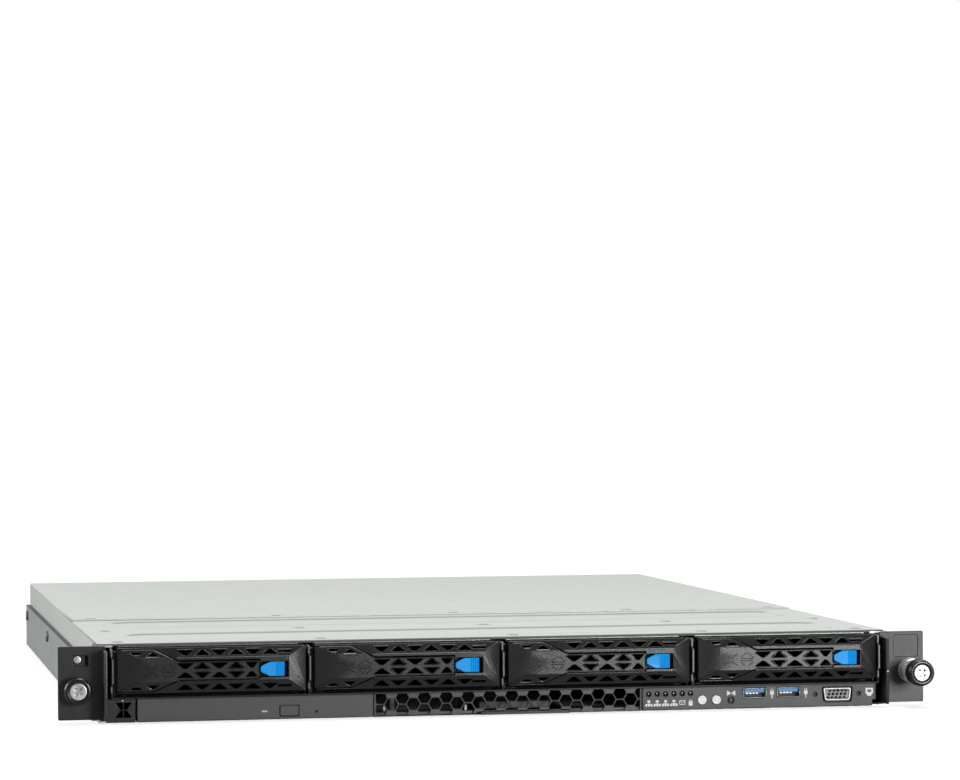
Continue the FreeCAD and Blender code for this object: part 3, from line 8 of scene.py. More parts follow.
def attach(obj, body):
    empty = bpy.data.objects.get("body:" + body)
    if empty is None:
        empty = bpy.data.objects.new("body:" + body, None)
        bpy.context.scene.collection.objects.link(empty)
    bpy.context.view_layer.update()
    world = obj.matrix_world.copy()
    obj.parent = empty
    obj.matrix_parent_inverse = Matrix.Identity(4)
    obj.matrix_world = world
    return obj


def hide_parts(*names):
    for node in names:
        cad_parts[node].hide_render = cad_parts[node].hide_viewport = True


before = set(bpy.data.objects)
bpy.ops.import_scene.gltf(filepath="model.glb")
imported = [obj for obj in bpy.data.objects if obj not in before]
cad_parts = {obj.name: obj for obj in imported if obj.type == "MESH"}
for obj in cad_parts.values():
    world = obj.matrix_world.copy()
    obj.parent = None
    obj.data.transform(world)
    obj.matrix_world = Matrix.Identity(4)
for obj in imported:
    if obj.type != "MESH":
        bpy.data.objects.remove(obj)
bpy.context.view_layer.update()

# ---------------------------------------------------------------- camera
# A long lens a little left of the server and just above it, held level.
camera = bpy.data.objects.new("camera", bpy.data.cameras.new("camera"))
bpy.context.scene.collection.objects.link(camera)
camera.data.lens = 133.33
camera.data.sensor_width = 36.0
across = Vector((0.98273136, -0.18496238, -0.00529028))
upward = Vector((0.00541899, 0.00019035, 0.99998530))
camera.matrix_world = (Matrix.Translation((-0.370494, -1.914294, 0.179964))
                       @ Matrix((across, upward, across.cross(upward))).transposed().to_4x4())
bpy.context.scene.camera = camera
bpy.context.scene.view_settings.view_transform = "Standard"


# ---------------------------------------------------------------- floor and light
# A white table that runs out into a white backdrop, a soft box at the front right, a wide soft
# ceiling, and a weak fill from the left.
def shader(tree, kind, inputs=None, **settings):
    """Adds a shader node; each input is a plain value or another node's socket."""
    made = tree.nodes.new(kind)
    for name, value in settings.items():
        setattr(made, name, value)
    for key, value in (inputs or {}).items():
        if isinstance(value, bpy.types.NodeSocket):
            tree.links.new(value, made.inputs[key])
        else:
            made.inputs[key].default_value = value
    return made


def maths(tree, operation, first, second):
    """One step of arithmetic on two values or sockets."""
    return shader(tree, "ShaderNodeMath", {0: first, 1: second}, operation=operation).outputs[0]


def spread(tree, value, low, high, start=0.3, end=0.7):
    """Carries a value from start..end to low..high."""
    return shader(tree, "ShaderNodeMapRange", {"Value": value, "From Min": start, "From Max": end,
                                               "To Min": low, "To Max": high}).outputs[0]


def seen_by(tree, mirror_share):
    """1 for a camera ray, and mirror_share for a ray off metal or through glass."""
    ray = shader(tree, "ShaderNodeLightPath").outputs
    mirrored = maths(tree, "MAXIMUM", ray["Is Glossy Ray"], ray["Is Transmission Ray"])
    return maths(tree, "MAXIMUM", ray["Is Camera Ray"], maths(tree, "MULTIPLY", mirrored, mirror_share))


def soft_box(name, place, target, wide, high, watts):
    """A rectangular area lamp that looks at target."""
    lamp = bpy.data.objects.new(name, bpy.data.lights.new(name, "AREA"))
    lamp.data.shape, lamp.data.size, lamp.data.size_y, lamp.data.energy = "RECTANGLE", wide, high, watts
    lamp.location = place
    lamp.rotation_euler = (Vector(target) - Vector(place)).to_track_quat("-Z", "Y").to_euler()
    bpy.context.scene.collection.objects.link(lamp)


soft_box("front_right", (0.59, -1.3, 0.2), (0.1, 0.0, 0.03), 0.46, 0.4, 12.5)
soft_box("ceiling", (0.35, -0.05, 1.9), (0.1, 0.15, 0.0), 1.1, 0.8, 26)
soft_box("left_fill", (-1.9, 0.1, 0.7), (0.0, 0.25, 0.03), 1.2, 0.9, 30)

world = bpy.data.worlds.new("studio")
bpy.context.scene.world = world
world.use_nodes = True
tree = world.node_tree
tree.nodes.clear()
towards = shader(tree, "ShaderNodeTexCoord").outputs["Generated"]
towards = shader(tree, "ShaderNodeSeparateXYZ", {0: towards}).outputs["Y"]
backdrop = spread(tree, towards, 0.07, 1.0, -0.45, 0.15)
level = maths(tree, "MAXIMUM", seen_by(tree, backdrop), 0.22)
sky = shader(tree, "ShaderNodeBackground", {"Color": (1, 1, 1, 1), "Strength": level})
shader(tree, "ShaderNodeOutputWorld", {"Surface": sky.outputs[0]})

table = bpy.data.materials.new("white_table")
table.use_nodes = True
tree = table.node_tree
tree.nodes.clear()
paper = shader(tree, "ShaderNodeBsdfDiffuse", {"Color": (0.26, 0.26, 0.26, 1)})
spot = shader(tree, "ShaderNodeTexCoord").outputs["Object"]
away = shader(tree, "ShaderNodeVectorMath", {0: spot}, operation="LENGTH").outputs["Value"]
shown = maths(tree, "MULTIPLY", seen_by(tree, 0.15), spread(tree, away, 0.78, 1.0, 0.5, 1.6))
glow = shader(tree, "ShaderNodeEmission", {"Strength": shown})
both = shader(tree, "ShaderNodeAddShader", {0: paper.outputs[0], 1: glow.outputs[0]})
shader(tree, "ShaderNodeOutputMaterial", {"Surface": both.outputs[0]})
floor = bpy.data.objects.new("floor", bpy.data.meshes.new("floor"))
FLOOR_REACH, FLOOR_DROP = 30, -0.0002
corners = [(x * FLOOR_REACH, y * FLOOR_REACH, FLOOR_DROP) for x, y in ((-1, -1), (1, -1), (1, 1), (-1, 1))]
floor.data.from_pydata(corners, [], [(0, 1, 2, 3)])
floor.data.materials.append(table)
bpy.context.scene.collection.objects.link(floor)


# ---------------------------------------------------------------- chassis
# Folded tray of 1 mm galvanised sheet: base, side walls with short top flanges, and the rear sheet
# with its windows. The zinc has crystallised into faint spangles.
def finish(name, colour, rough, metal=0.0, specular=0.5):
    """A new material's node tree, its main shader and the piece's own coordinates in metres."""
    material = bpy.data.materials.new(name)
    material.use_nodes = True
    tree = material.node_tree
    main = tree.nodes["Principled BSDF"]
    main.inputs["Base Color"].default_value = (*colour, 1)
    main.inputs["Roughness"].default_value = rough
    main.inputs["Metallic"].default_value = metal
    main.inputs["Specular IOR Level"].default_value = specular
    if metal:
        main.inputs["Specular Tint"].default_value = (*[0.9 * c for c in colour], 1)
    return material, tree, main, shader(tree, "ShaderNodeTexCoord").outputs["Object"]


def noise(tree, where, scale, detail=3.0):
    """A smooth random value whose features are 1 / scale metres across."""
    return shader(tree, "ShaderNodeTexNoise", {"Vector": where, "Scale": scale, "Detail": detail}).outputs[0]


def tinted(tree, main, value, dark, light):
    """Base colour between dark and light by a value; each is a colour or a socket that holds one."""
    ends = [c if isinstance(c, bpy.types.NodeSocket) else (*c, 1) for c in (dark, light)]
    mix = shader(tree, "ShaderNodeMix", data_type="RGBA")
    for key, end in zip((0, 6, 7), (value, *ends)):
        if isinstance(end, bpy.types.NodeSocket):
            tree.links.new(end, mix.inputs[key])
        else:
            mix.inputs[key].default_value = end
    tree.links.new(mix.outputs[2], main.inputs["Base Color"])
    return mix.outputs[2]


def rough_skin(tree, main, height, strength, depth):
    """Bump from a height value, depth metres deep."""
    bump = shader(tree, "ShaderNodeBump", {"Height": height, "Strength": strength, "Distance": depth})
    tree.links.new(bump.outputs[0], main.inputs["Normal"])


def steel_sheet(name, colour, rough, spangle=0.007, contrast=0.028, metal=0.75, painted_shade_marks=False):
    """Galvanised sheet: cells of zinc that differ a little in tone, and rolling marks along y that
    change the gloss. Painted shade darkens it and dulls its metal where the mesh's own attribute says."""
    material, tree, main, where = finish(name, colour, rough, metal)
    cell = shader(tree, "ShaderNodeTexVoronoi", {"Vector": where, "Scale": 1 / spangle})
    tone = shader(tree, "ShaderNodeSeparateColor", {0: cell.outputs["Color"]}).outputs[0]
    mixed = shader(tree, "ShaderNodeMix", {0: 0.2, 2: tone, 3: noise(tree, where, 9, 2)}).outputs[0]
    tone = tinted(tree, main, spread(tree, mixed, 0, 1, 0.1, 0.9), [c * (1 - contrast) for c in colour],
                  [c * (1 + contrast) for c in colour])
    # Painted shade: the mesh's attribute darkens the tone and takes away the metal's sheen.
    if painted_shade_marks:
        mark = shader(tree, "ShaderNodeAttribute", attribute_name="painted_shade").outputs["Fac"]
        tinted(tree, main, mark, tone, [c * 0.1 for c in colour])
        tree.links.new(spread(tree, mark, metal, 0.1, 0, 1), main.inputs["Metallic"])
    along_y = shader(tree, "ShaderNodeMapping", {"Vector": where, "Scale": (900, 12, 900)}).outputs[0]
    rolling = noise(tree, along_y, 1, 2)
    tree.links.new(spread(tree, rolling, rough - 0.015, rough + 0.02), main.inputs["Roughness"])
    rough_skin(tree, main, rolling, 0.1, 0.00006)
    return material


def dress(material, *names):
    """Gives CAD pieces whose shape is right their finish."""
    for name in names:
        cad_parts[name].data.materials.clear()
        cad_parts[name].data.materials.append(material)


galvanised = steel_sheet("galvanised_sheet", (0.68, 0.70, 0.68), 0.45)
dress(galvanised, "chassis_base", "rear_panel")


# ---------------------------------------------------------------- front cover
# Fixed sheet over the drives, with two shallow panels pressed into it to stiffen it, a lip folded
# down at the front, and dimples that take the low screw heads.
def lines(low, high, coarse, spots, reach, step):
    """Grid lines every coarse from low to high, and every step within reach of each spot."""
    close = [np.arange(s - reach, s + reach + step / 2, step) for s in spots]
    every = np.concatenate([np.arange(low, high, coarse), [high], *close])
    every = np.unique(np.clip(every, low, high).round(3))
    return every[np.r_[True, np.diff(every) > step * 0.4]]


def tube_faces(rings, count, closed=False):
    """Quads between rings of count points each, every ring closed on itself. A closed tube also joins
    its last ring to its first."""
    start = np.arange(rings if closed else rings - 1)[:, None] * count
    here = (start + np.arange(count)).ravel()
    beside = (start + (np.arange(count) + 1) % count).ravel()
    return np.stack([here, beside, beside + count, here + count], 1) % (rings * count)


def fill(loops, start=0):
    """Triangles that fill the first flat loop less the others; indices count through all of them."""
    flat = [[Vector((p[0], p[1], 0)) for p in loop] for loop in loops]
    return np.array(tessellate_polygon(flat)).reshape(-1, 3) + start


def carried(rings, section):
    """A closed shell: one flat section carried along, one row of points for each ring, capped flat."""
    cap = fill([section])
    last = (len(rings) - 1) * len(section)
    return rings.reshape(-1, 3), [tube_faces(len(rings), len(section)), cap, cap + last]


def points_of(mesh):
    """A mesh's points in mm, one row each."""
    flat = np.zeros(len(mesh.vertices) * 3)
    mesh.vertices.foreach_get("co", flat)
    return flat.reshape(-1, 3) * 1000


def build(name, shells, material, body, slot, *nodes, creases=(), bend=None, smooth=20, painted_shade=None):
    """One mesh from closed shells of (points in mm, face arrays). Creases are (point, normal) planes that
    split it, bend then moves all of its points at once, and the last function gives each point's share of
    painted shade, kept as an attribute for the finish."""
    points, faces, start = [], [], 0
    for shell_points, shell_faces in shells:
        points.append(np.asarray(shell_points, float))
        for array in shell_faces:
            faces += (np.asarray(array) + start).tolist()
        start += len(points[-1])
    mesh = bpy.data.meshes.new(name)
    mesh.from_pydata((np.concatenate(points) * 0.001).tolist(), [], faces)
    work = bmesh.new()
    work.from_mesh(mesh)
    bmesh.ops.remove_doubles(work, verts=work.verts, dist=2e-7)
    for point, normal in creases:
        bmesh.ops.bisect_plane(work, geom=work.verts[:] + work.edges[:] + work.faces[:], dist=1e-7,
                               plane_co=Vector(point) * 0.001, plane_no=Vector(normal))
    bmesh.ops.recalc_face_normals(work, faces=work.faces)
    work.to_mesh(mesh)
    work.free()
    if bend is not None:
        mesh.vertices.foreach_set("co", (bend(points_of(mesh)) * 0.001).ravel())
    if painted_shade is not None:
        mesh.attributes.new("painted_shade", "FLOAT", "POINT").data.foreach_set("value", painted_shade(points_of(mesh)))
    mesh.shade_smooth()
    mesh.set_sharp_from_angle(angle=np.radians(smooth))
    mesh.materials.append(material)
    piece = bpy.data.objects.new(name, mesh)
    bpy.context.scene.collection.objects.link(piece)
    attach(piece, body)
    if nodes:
        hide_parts(*nodes)


def pressed(x, y, left, right, front, back, corner, slope):
    """1 inside a rectangle with round corners and 0 outside it, with a smooth slope between: a
    smoothstep of the signed distance to its outline."""
    dx = np.abs(x - (left + right) / 2) - (right - left) / 2 + corner
    dy = np.abs(y - (front + back) / 2) - (back - front) / 2 + corner
    away = np.hypot(np.maximum(dx, 0), np.maximum(dy, 0)) + np.minimum(np.maximum(dx, dy), 0) - corner
    t = np.clip(0.5 - away / slope, 0, 1)
    return t * t * (3 - 2 * t)


def sheet_cover(xs, section, upper, relief):
    """A closed (y, z) section carried across along xs; its first `upper` points are the outer face, which
    the relief(x, y) lowers."""
    y, z = np.broadcast_to(section[:, 0], (len(xs), len(section))), section[:, 1]
    x = np.broadcast_to(xs[:, None], y.shape)
    drop = np.zeros_like(x)
    drop[:, :upper] = relief(x[:, :upper], y[:, :upper])
    return carried(np.stack([x, y, z - drop], 2), section)


def fold(y, z, radius, start, turn, count=5):
    """Points of a round bend about (y, z), from the angle start through turn, in degrees."""
    angle = np.radians(start + turn * np.linspace(0, 1, count))
    return np.stack([y + radius * np.cos(angle), z + radius * np.sin(angle)], 1)


def level_line(ys, z):
    """(y, z) points along a level line."""
    return np.stack([ys, np.full(len(ys), z)], 1)


COVER_SIDE = 219.75
COVER_TOP = 42.0
SCREW_X = (-208.0, -96.75, 11.0, 118.75, 208.0)
SCREW_Y = (18.3, 105.3)
PANELS = ((28.3, 76.3), (132.3, 180.3))
PANEL_SIDE, PANEL_DEPTH, PANEL_SLOPE = 198, 0.55, 5.0


def front_relief(x, y):
    """Two pressed panels, a dimple round each screw, and the sheet's own slight waviness."""
    deep = sum(PANEL_DEPTH * pressed(x, y, -PANEL_SIDE, PANEL_SIDE, a, b, 11, PANEL_SLOPE)
               for a, b in PANELS)
    for sy in SCREW_Y:
        for sx in SCREW_X:
            deep = deep + 0.22 * np.exp(-((np.hypot(x - sx, y - sy) / 3.6) ** 4))
    return deep + 0.03 + 0.03 * np.sin(x / 41 + 0.6) * np.sin(y / 23)


def front_painted_shade(points):
    """Painted shade where the outer face's relief falls steeply along y, and on the folded front lip."""
    x, y, z = points.T
    steep = np.abs(front_relief(x, y + 0.3) - front_relief(x, y - 0.3)) / 0.6
    lip = np.clip((4.7 - y) / 0.3, 0, 1)
    return np.maximum(lip, 0.62 * np.clip(steep / 0.09, 0, 1) * (z > 41.3))


top_y = lines(4.6, 195.9, 6, [a + s for a, b in PANELS for s in (6, b - a - 6)], 8, 1.0)
top_y = np.unique(np.r_[top_y, [y + d for y in SCREW_Y for d in np.arange(-5, 5.1, 1.0)]])
outer_face = np.r_[[(3.3, 40.8)], fold(4.4, 40.9, 1.1, 180, -90), level_line(top_y, COVER_TOP),
                   [(196.2, 41.7)]]
inner_face = [(196.2, 41.22), (100, 41.22), (5.0, 41.22), (4.1, 40.8)]
cover_x = lines(-COVER_SIDE, COVER_SIDE, 8, [-192, 192, *SCREW_X], 8, 1.0)
# Both covers carry painted shade on their press slopes, dimples and folds.
cover_sheet = steel_sheet("cover_sheet", (0.64, 0.665, 0.635), 0.45, painted_shade_marks=True)
build("front_cover", [sheet_cover(cover_x, np.r_[outer_face, inner_face], len(outer_face), front_relief)],
      cover_sheet, "chassis", "galvanised", "front_top_cover", painted_shade=front_painted_shade)


# ---------------------------------------------------------------- rear cover
# The sliding lid over the fans and boards. One sheet with hems down its sides and ends, and a row of
# five small dimples behind its front edge where it hooks under the front cover.
LID_TOP = 42.9
DIMPLE_Y = 205


def rear_relief(x, y):
    """Hook dimples, and the slight waviness of a wide sheet."""
    deep = 0.05 + 0.05 * np.sin(x / 57 + 1.1) * np.sin(y / 61)
    for sx in SCREW_X:
        deep = deep + 0.3 * np.exp(-((np.hypot(x - sx, y - DIMPLE_Y) / 2.6) ** 4))
    return deep


def side_hem(sign):
    """The lid's rolled side edge: a quarter round and its short drop, carried from front to back."""
    drop = [(COVER_SIDE, 41.2), (218.95, 41.2), (218.95, 42.1), (218.8, 42.15)]
    section = np.r_[fold(218.87, 42.02, 0.88, 90, -90, 5), drop]
    ys = np.array([197.0, 300, 400, 500, 599.8])
    rings = [np.broadcast_to(row, (len(ys), len(section)))
             for row in (sign * section[:, 0], ys[:, None], section[:, 1])]
    return carried(np.stack(rings, 2), section)


def rear_painted_shade(points):
    """Painted shade on the dimples' edges and on the front fold."""
    x, y, z = points.T
    steep = (np.abs(rear_relief(x, y + 0.3) - rear_relief(x, y - 0.3))
             + np.abs(rear_relief(x + 0.3, y) - rear_relief(x - 0.3, y)))
    fold_shade = np.clip((LID_TOP - 0.01 - z) / 0.15, 0, 1) * (y < 198)
    return np.clip(steep / 0.12, 0, 1) * (z > 42.4) * (1 - fold_shade) + 0.55 * fold_shade


lid_outer = np.r_[[(196.6, 42.12)], fold(197.5, 42.0, 0.9, 180, -90, 4),
                  level_line(lines(197.6, 599.4, 12, [DIMPLE_Y], 5, 0.8), LID_TOP),
                  fold(599.4, 42.0, 0.9, 90, -90, 4), [(600.3, 41.2)]]
lid_inner = [(599.5, 41.2), (599.5, 42.1), (400, 42.1)]
lid_x = lines(-218.9, 218.9, 10, SCREW_X, 5, 0.8)
lid = sheet_cover(lid_x, np.r_[lid_outer, lid_inner], len(lid_outer), rear_relief)
build("rear_cover", [lid, side_hem(1), side_hem(-1)], cover_sheet, "lid", "galvanised", "rear_top_cover",
      painted_shade=rear_painted_shade)


# ---------------------------------------------------------------- cover screws
# Ten low zinc-plated pan heads with cross recesses, sunk into the front cover's dimples.
def round_rings(profile, turns, wrap):
    """(radius, height) points turned about the local z axis. wrap(radius, angle, height) may carve them."""
    angle = np.linspace(0, 2 * np.pi, turns, endpoint=False)
    radius, height = (np.broadcast_to(row[:, None], (len(row), turns))
                      for row in np.asarray(profile, float).T)
    if wrap is not None:
        radius, height = wrap(radius, angle, height)
    return np.stack([radius * np.cos(angle), radius * np.sin(angle), height], 2)


def facing(shell, place, axis):
    """Turns a shell's local z axis to point along an axis (x, y or z, signed) and puts it at place."""
    points, faces = shell
    x, y, z = points.T
    turned_to = {"x": (z, x, y), "y": (x, z, -y), "z": (x, y, z)}[axis[-1]]
    half_turn = {"x": (-1, -1, 1), "y": (-1, -1, 1), "z": (1, -1, -1)}[axis[-1]] if axis[0] == "-" else 1
    return np.stack(turned_to, 1) * half_turn + place, faces


def turned(profile, place, axis="-y", turns=24, wrap=None):
    """A closed solid of revolution from (radius, height) points, its two ends joined to single points."""
    rings = round_rings(profile, turns, wrap)
    poles = [(0, 0, ring[:, 2].mean()) for ring in (rings[0], rings[-1])]
    end, k = len(rings) * turns, np.arange(turns)
    last, ahead = end - turns, (k + 1) % turns
    faces = [tube_faces(len(rings), turns), np.stack([np.full(turns, end), ahead, k], 1),
             np.stack([np.full(turns, end + 1), last + k, last + ahead], 1)]
    return facing((np.r_[rings.reshape(-1, 3), poles], faces), place, axis)


def ring_of(profile, place, axis="-y", turns=48, wrap=None):
    """A closed ring: a (radius, height) outline turned about the local z axis and joined to itself."""
    points = round_rings(profile, turns, wrap).transpose(1, 0, 2).reshape(-1, 3)
    return facing((points, [tube_faces(turns, len(profile), closed=True)]), place, axis)


def cross_recess(reach, half_width, depth):
    """Carves a cross: deepest at the middle, each arm half_width wide and reach long with sloping walls."""
    def carve(radius, angle, height):
        u, v = radius * np.cos(angle + np.pi / 4), radius * np.sin(angle + np.pi / 4)
        arm = np.clip((half_width - np.minimum(np.abs(u), np.abs(v))) / (0.35 * half_width), 0, 1)
        return radius, height - depth * arm * np.clip((reach - radius) / (0.3 * reach), 0, 1)
    return carve


def plated(name, colour, rough, metal=0.9):
    """Bright plating with a faintly uneven gloss and fine turning marks."""
    material, tree, main, where = finish(name, colour, rough, metal)
    worn = noise(tree, where, 260, 4)
    tree.links.new(spread(tree, worn, rough - 0.06, rough + 0.12), main.inputs["Roughness"])
    tinted(tree, main, spread(tree, worn, 0, 1), [c * 0.86 for c in colour],
           [min(1, c * 1.08) for c in colour])
    rough_skin(tree, main, noise(tree, where, 3000, 2), 0.15, 0.00003)
    return material


screw_steel = plated("zinc_plated_screw", (0.62, 0.62, 0.60), 0.32)
head_steel = plated("dull_zinc_screw", (0.38, 0.39, 0.38), 0.5, 0.5)
domed = np.stack([np.linspace(0.12, 2.2, 14), 0.3 - 0.04 * np.linspace(0, 1, 14) ** 2], 1)
low_head = np.r_[domed, fold(2.3, -0.1, 0.4, 65, -65, 4), [(2.7, -0.6)]]
heads = [turned(low_head, (sx, sy, COVER_TOP), "z", 32, cross_recess(1.5, 0.36, 0.5))
         for sy in SCREW_Y for sx in SCREW_X]
build("cover_screw_heads", heads, head_steel, "chassis", "screw_steel", "cover_screws", smooth=40)


# ---------------------------------------------------------------- slide rails
# Inner members of the rack slides: roll-formed channels of 1 mm steel riveted to the side walls, each
# hung on three shouldered studs. Their upper edge is toned dark, because it lies in the cover's shadow.
rail_steel = steel_sheet("rail_sheet", (0.56, 0.585, 0.565), 0.36, 0.006, 0.06, 0.8)
tree = rail_steel.node_tree
where = shader(tree, "ShaderNodeTexCoord").outputs["Object"]
edge_share = spread(tree, shader(tree, "ShaderNodeSeparateXYZ", {0: where}).outputs["Z"], 0, 1, 0.0276,
                    0.0279)
main = tree.nodes["Principled BSDF"]
tinted(tree, main, edge_share, main.inputs["Base Color"].links[0].from_socket, (0.06, 0.065, 0.065))
dress(rail_steel, "left_slide_rail", "right_slide_rail")

STUD_Y = (150.0, 366.0, 579.0)
RAIL_FACE = 223.99
shoulder_stud = [(2.0, -4.2), (2.0, -1.4), (3.4, -1.4), (3.4, -0.35), (3.05, 0.0), (1.3, 0.0), (1.1, -0.25),
                 (0.2, -0.25)]
studs = [turned(shoulder_stud, (sign * RAIL_FACE, y, 21.5), "x" if sign > 0 else "-x", 32)
         for sign in (1, -1) for y in STUD_Y]
stud_steel = plated("dull_stud", (0.15, 0.16, 0.16), 0.42, 0.6)
build("shoulder_studs", studs, stud_steel, "chassis", "screw_steel", "rail_studs", smooth=40)


# ---------------------------------------------------------------- rack ears
# Black mouldings that carry the server on the rack posts: a plate on the post, a wall forward of it
# beside the bays, and a tab screwed to the side wall. The left ear's slot holds a bright pin and a dark
# sheet that is painted shade, and a small metal dot is set in the right ear's wall.
def rounded(outline, radius, count=4):
    """Every corner of a closed outline replaced by a curve tangent to its two sides: a quadratic Bezier
    whose ends lie radius from the corner. Radius may be one number or one for each corner."""
    p = np.asarray(outline, float)
    r = np.broadcast_to(np.asarray(radius, float), (len(p),))[:, None]
    back, on = np.roll(p, 1, 0) - p, np.roll(p, -1, 0) - p
    a = p + back / np.linalg.norm(back, axis=1, keepdims=True) * r
    b = p + on / np.linalg.norm(on, axis=1, keepdims=True) * r
    s = np.linspace(0, 1, count)[None, :, None]
    curve = (1 - s) ** 2 * a[:, None] + 2 * s * (1 - s) * p[:, None] + s ** 2 * b[:, None]
    flat = curve.reshape(-1, 2)
    return flat[np.linalg.norm(flat - np.roll(flat, 1, 0), axis=1) > 1e-6]


def oblong(x0, x1, z0, z1, radius=0.5, count=4):
    """A rectangle with round corners, anticlockwise."""
    return rounded([(x0, z0), (x1, z0), (x1, z1), (x0, z1)], radius, count)


def disc(x, z, radius, count=24):
    """A circle, anticlockwise."""
    angle = np.linspace(0, 2 * np.pi, count, endpoint=False)
    return np.stack([x + radius * np.cos(angle), z + radius * np.sin(angle)], 1)


def inset(loop, distance):
    """A closed loop moved to its left by a distance: each corner goes along the mitre of its two sides."""
    ahead = np.roll(loop, -1, 0) - loop
    ahead = ahead / np.linalg.norm(ahead, axis=1, keepdims=True)
    left = np.stack([-ahead[:, 1], ahead[:, 0]], 1)
    before = np.roll(left, 1, 0)
    mitre = left + before
    return loop + distance * mitre / np.maximum(1 + (left * before).sum(1, keepdims=True), 0.35)


def plate(outer, holes, profile, axes="xyz", rim=1.0):
    """A moulding with one outline and any holes: every loop is carried along (inset, depth) steps, which
    round or chamfer its edges, and the first and last steps are filled flat. Axes name where the
    outline's two directions and the depth go: 'xyz' puts the outline in x and z and the depth in y.
    Rim scales the insets of the holes."""
    loops = [np.asarray(outer, float)] + [np.asarray(hole, float)[::-1] for hole in holes]
    points, faces, start = [], [], 0
    first, last = [], []
    for loop in loops:
        share = rim if start else 1.0
        rings = [np.c_[inset(loop, step * share), np.full(len(loop), depth)] for step, depth in profile]
        points += rings
        faces.append(tube_faces(len(rings), len(loop)) + start)
        first.append(start + np.arange(len(loop)))
        last.append(start + (len(rings) - 1) * len(loop) + np.arange(len(loop)))
        start += len(rings) * len(loop)
    points = np.concatenate(points)
    for indices in (first, last):
        flat = fill([points[i, :2] for i in indices])
        faces.append(np.concatenate(indices)[flat])
    u, v, depth = points.T
    placed = {"xyz": (u, depth, v), "xzy": (u, v, depth), "yzx": (depth, u, v)}[axes]
    return np.stack(placed, 1), faces


def slab(outline, start, end, axes="xyz", soft=(0, 0), holes=()):
    """A plate with straight sides from start to end, and a 45 degree chamfer of its own at each end."""
    a, b = soft
    sides = [(0, start + a), (0, end - b)]
    return plate(outline, holes, ([(a, start)] if a else []) + sides + ([(b, end)] if b else []), axes)


def edges(front, back, chamfer=0.3, back_chamfer=0.15):
    """A plate's profile from front to back with softened edges."""
    c, b = chamfer, back_chamfer
    steps = [(c, front), (0.3 * c, front + 0.3 * c), (0, front + c), (0, back - b)]
    return steps + ([(b, back)] if b else [])


def mirrored(sign, a, b):
    """The span a..b on the server's right side, or its mirror image on the left, low end first."""
    return sorted((sign * a, sign * b))


def moulded(name, colour, rough=0.5, specular=0.5, grain=0.55, size=0.00045, speckle=0.3):
    """Black or coloured moulding, spark-eroded: a fine grain in the surface and in its tone, and broader
    patches where the gloss changes a little."""
    material, tree, main, where = finish(name, colour, rough, 0.0, specular)
    fine = noise(tree, where, 1 / size, 2)
    broad = noise(tree, where, 45, 3)
    tinted(tree, main, spread(tree, fine, 0, 1, 0.32, 0.68), [c * (1 - speckle) for c in colour],
           [c * (1 + speckle) + 0.004 for c in colour])
    gloss = shader(tree, "ShaderNodeMix", {0: 0.6, 2: broad, 3: fine}).outputs[0]
    tree.links.new(spread(tree, gloss, rough - 0.09, rough + 0.11), main.inputs["Roughness"])
    rough_skin(tree, main, fine, grain, 0.0001)
    return material


ear_black = moulded("ear_moulding", (0.011, 0.011, 0.0115), 0.38, 0.55)
EAR_INNER, EAR_OUTER, EAR_LOW, EAR_HIGH = 215.7, 241.3, 1.8, 41.3
EAR_FRONT = -2.0
for sign, side_name in ((-1, "left"), (1, "right")):
    left = sign < 0
    bore = disc(sign * 232.2 + 1.0, 17.8 if left else 19.6, 5.55, 32)
    mark = oblong(-233.2, -225.2, 30.6, 36.4, 0.5) if left else oblong(224.1, 238.0, 27.3, 39.3, 0.8)
    floor_y = -0.6 if left else -1.65
    outline = oblong(*mirrored(sign, EAR_INNER, EAR_OUTER), EAR_LOW, EAR_HIGH, 0.9)
    behind = oblong(*mirrored(sign, 219.8, EAR_OUTER), EAR_LOW, EAR_HIGH, 0.9)
    wall = rounded([(-15.3, EAR_LOW), (-1.0, EAR_LOW), (-1.0, 39.3), (-15.3, 39.3)], [1.2, 0.1, 0.1, 1.6])
    a, b = mirrored(sign, EAR_INNER, 217.6)
    round_wall = [(0.8, a), (0.38, a + 0.2), (0.1, a + 0.5), (0, a + 0.95), (0.1, b - 0.5), (0.38, b - 0.2),
                  (0.8, b)]
    tab = rounded([(-1.0, 29.5), (22.0, 29.5), (22.0, EAR_HIGH), (-1.0, EAR_HIGH)], [0.2, 1.5, 1.5, 0.2])
    shells = [plate(outline, [bore, mark], edges(EAR_FRONT, floor_y, 0.35, 0)),
              slab(behind, floor_y, 0, holes=[bore]),
              plate(wall, [], round_wall, "yzx"),
              slab(tab, *mirrored(sign, COVER_SIDE, 221.15), "yzx", (0.3, 0) if left else (0, 0.3))]
    build(side_name + "_ear_moulding", shells, ear_black, "chassis", "ear_black", side_name + "_ear")

# A dark sheet at the back of the left ear's slot is painted shade for the slot's dark inside.
slot_shade_black = moulded("slot_shade_sheet", (0.003, 0.003, 0.003), 0.75, 0.08, 0.3)
lining = slab(oblong(-226.8, -225.5, 30.9, 36.1, 0.2), -0.95, -0.5, soft=(0.1, 0))
build("ear_slot_shade_sheet", [lining], slot_shade_black, "chassis", "ear_black")
dot = [(0.65, -1.5), (0.65, 0.05), (0.5, 0.22), (0.15, 0.3)]
build("ear_dot", [turned(dot, (216.65, -15.1, 20.2), turns=20)], screw_steel, "chassis", "screw_steel",
      smooth=40)
pin = np.r_[[(2.0, -2.6), (2.0, -0.35)], fold(1.65, -0.35, 0.35, 0, 90, 4), [(0.2, 0.0)]]
build("bright_pin", [turned(pin, (-230.9, -2.3, 34.2), turns=28)], screw_steel, "chassis", "screw_steel",
      "ear_pin",
      smooth=40)


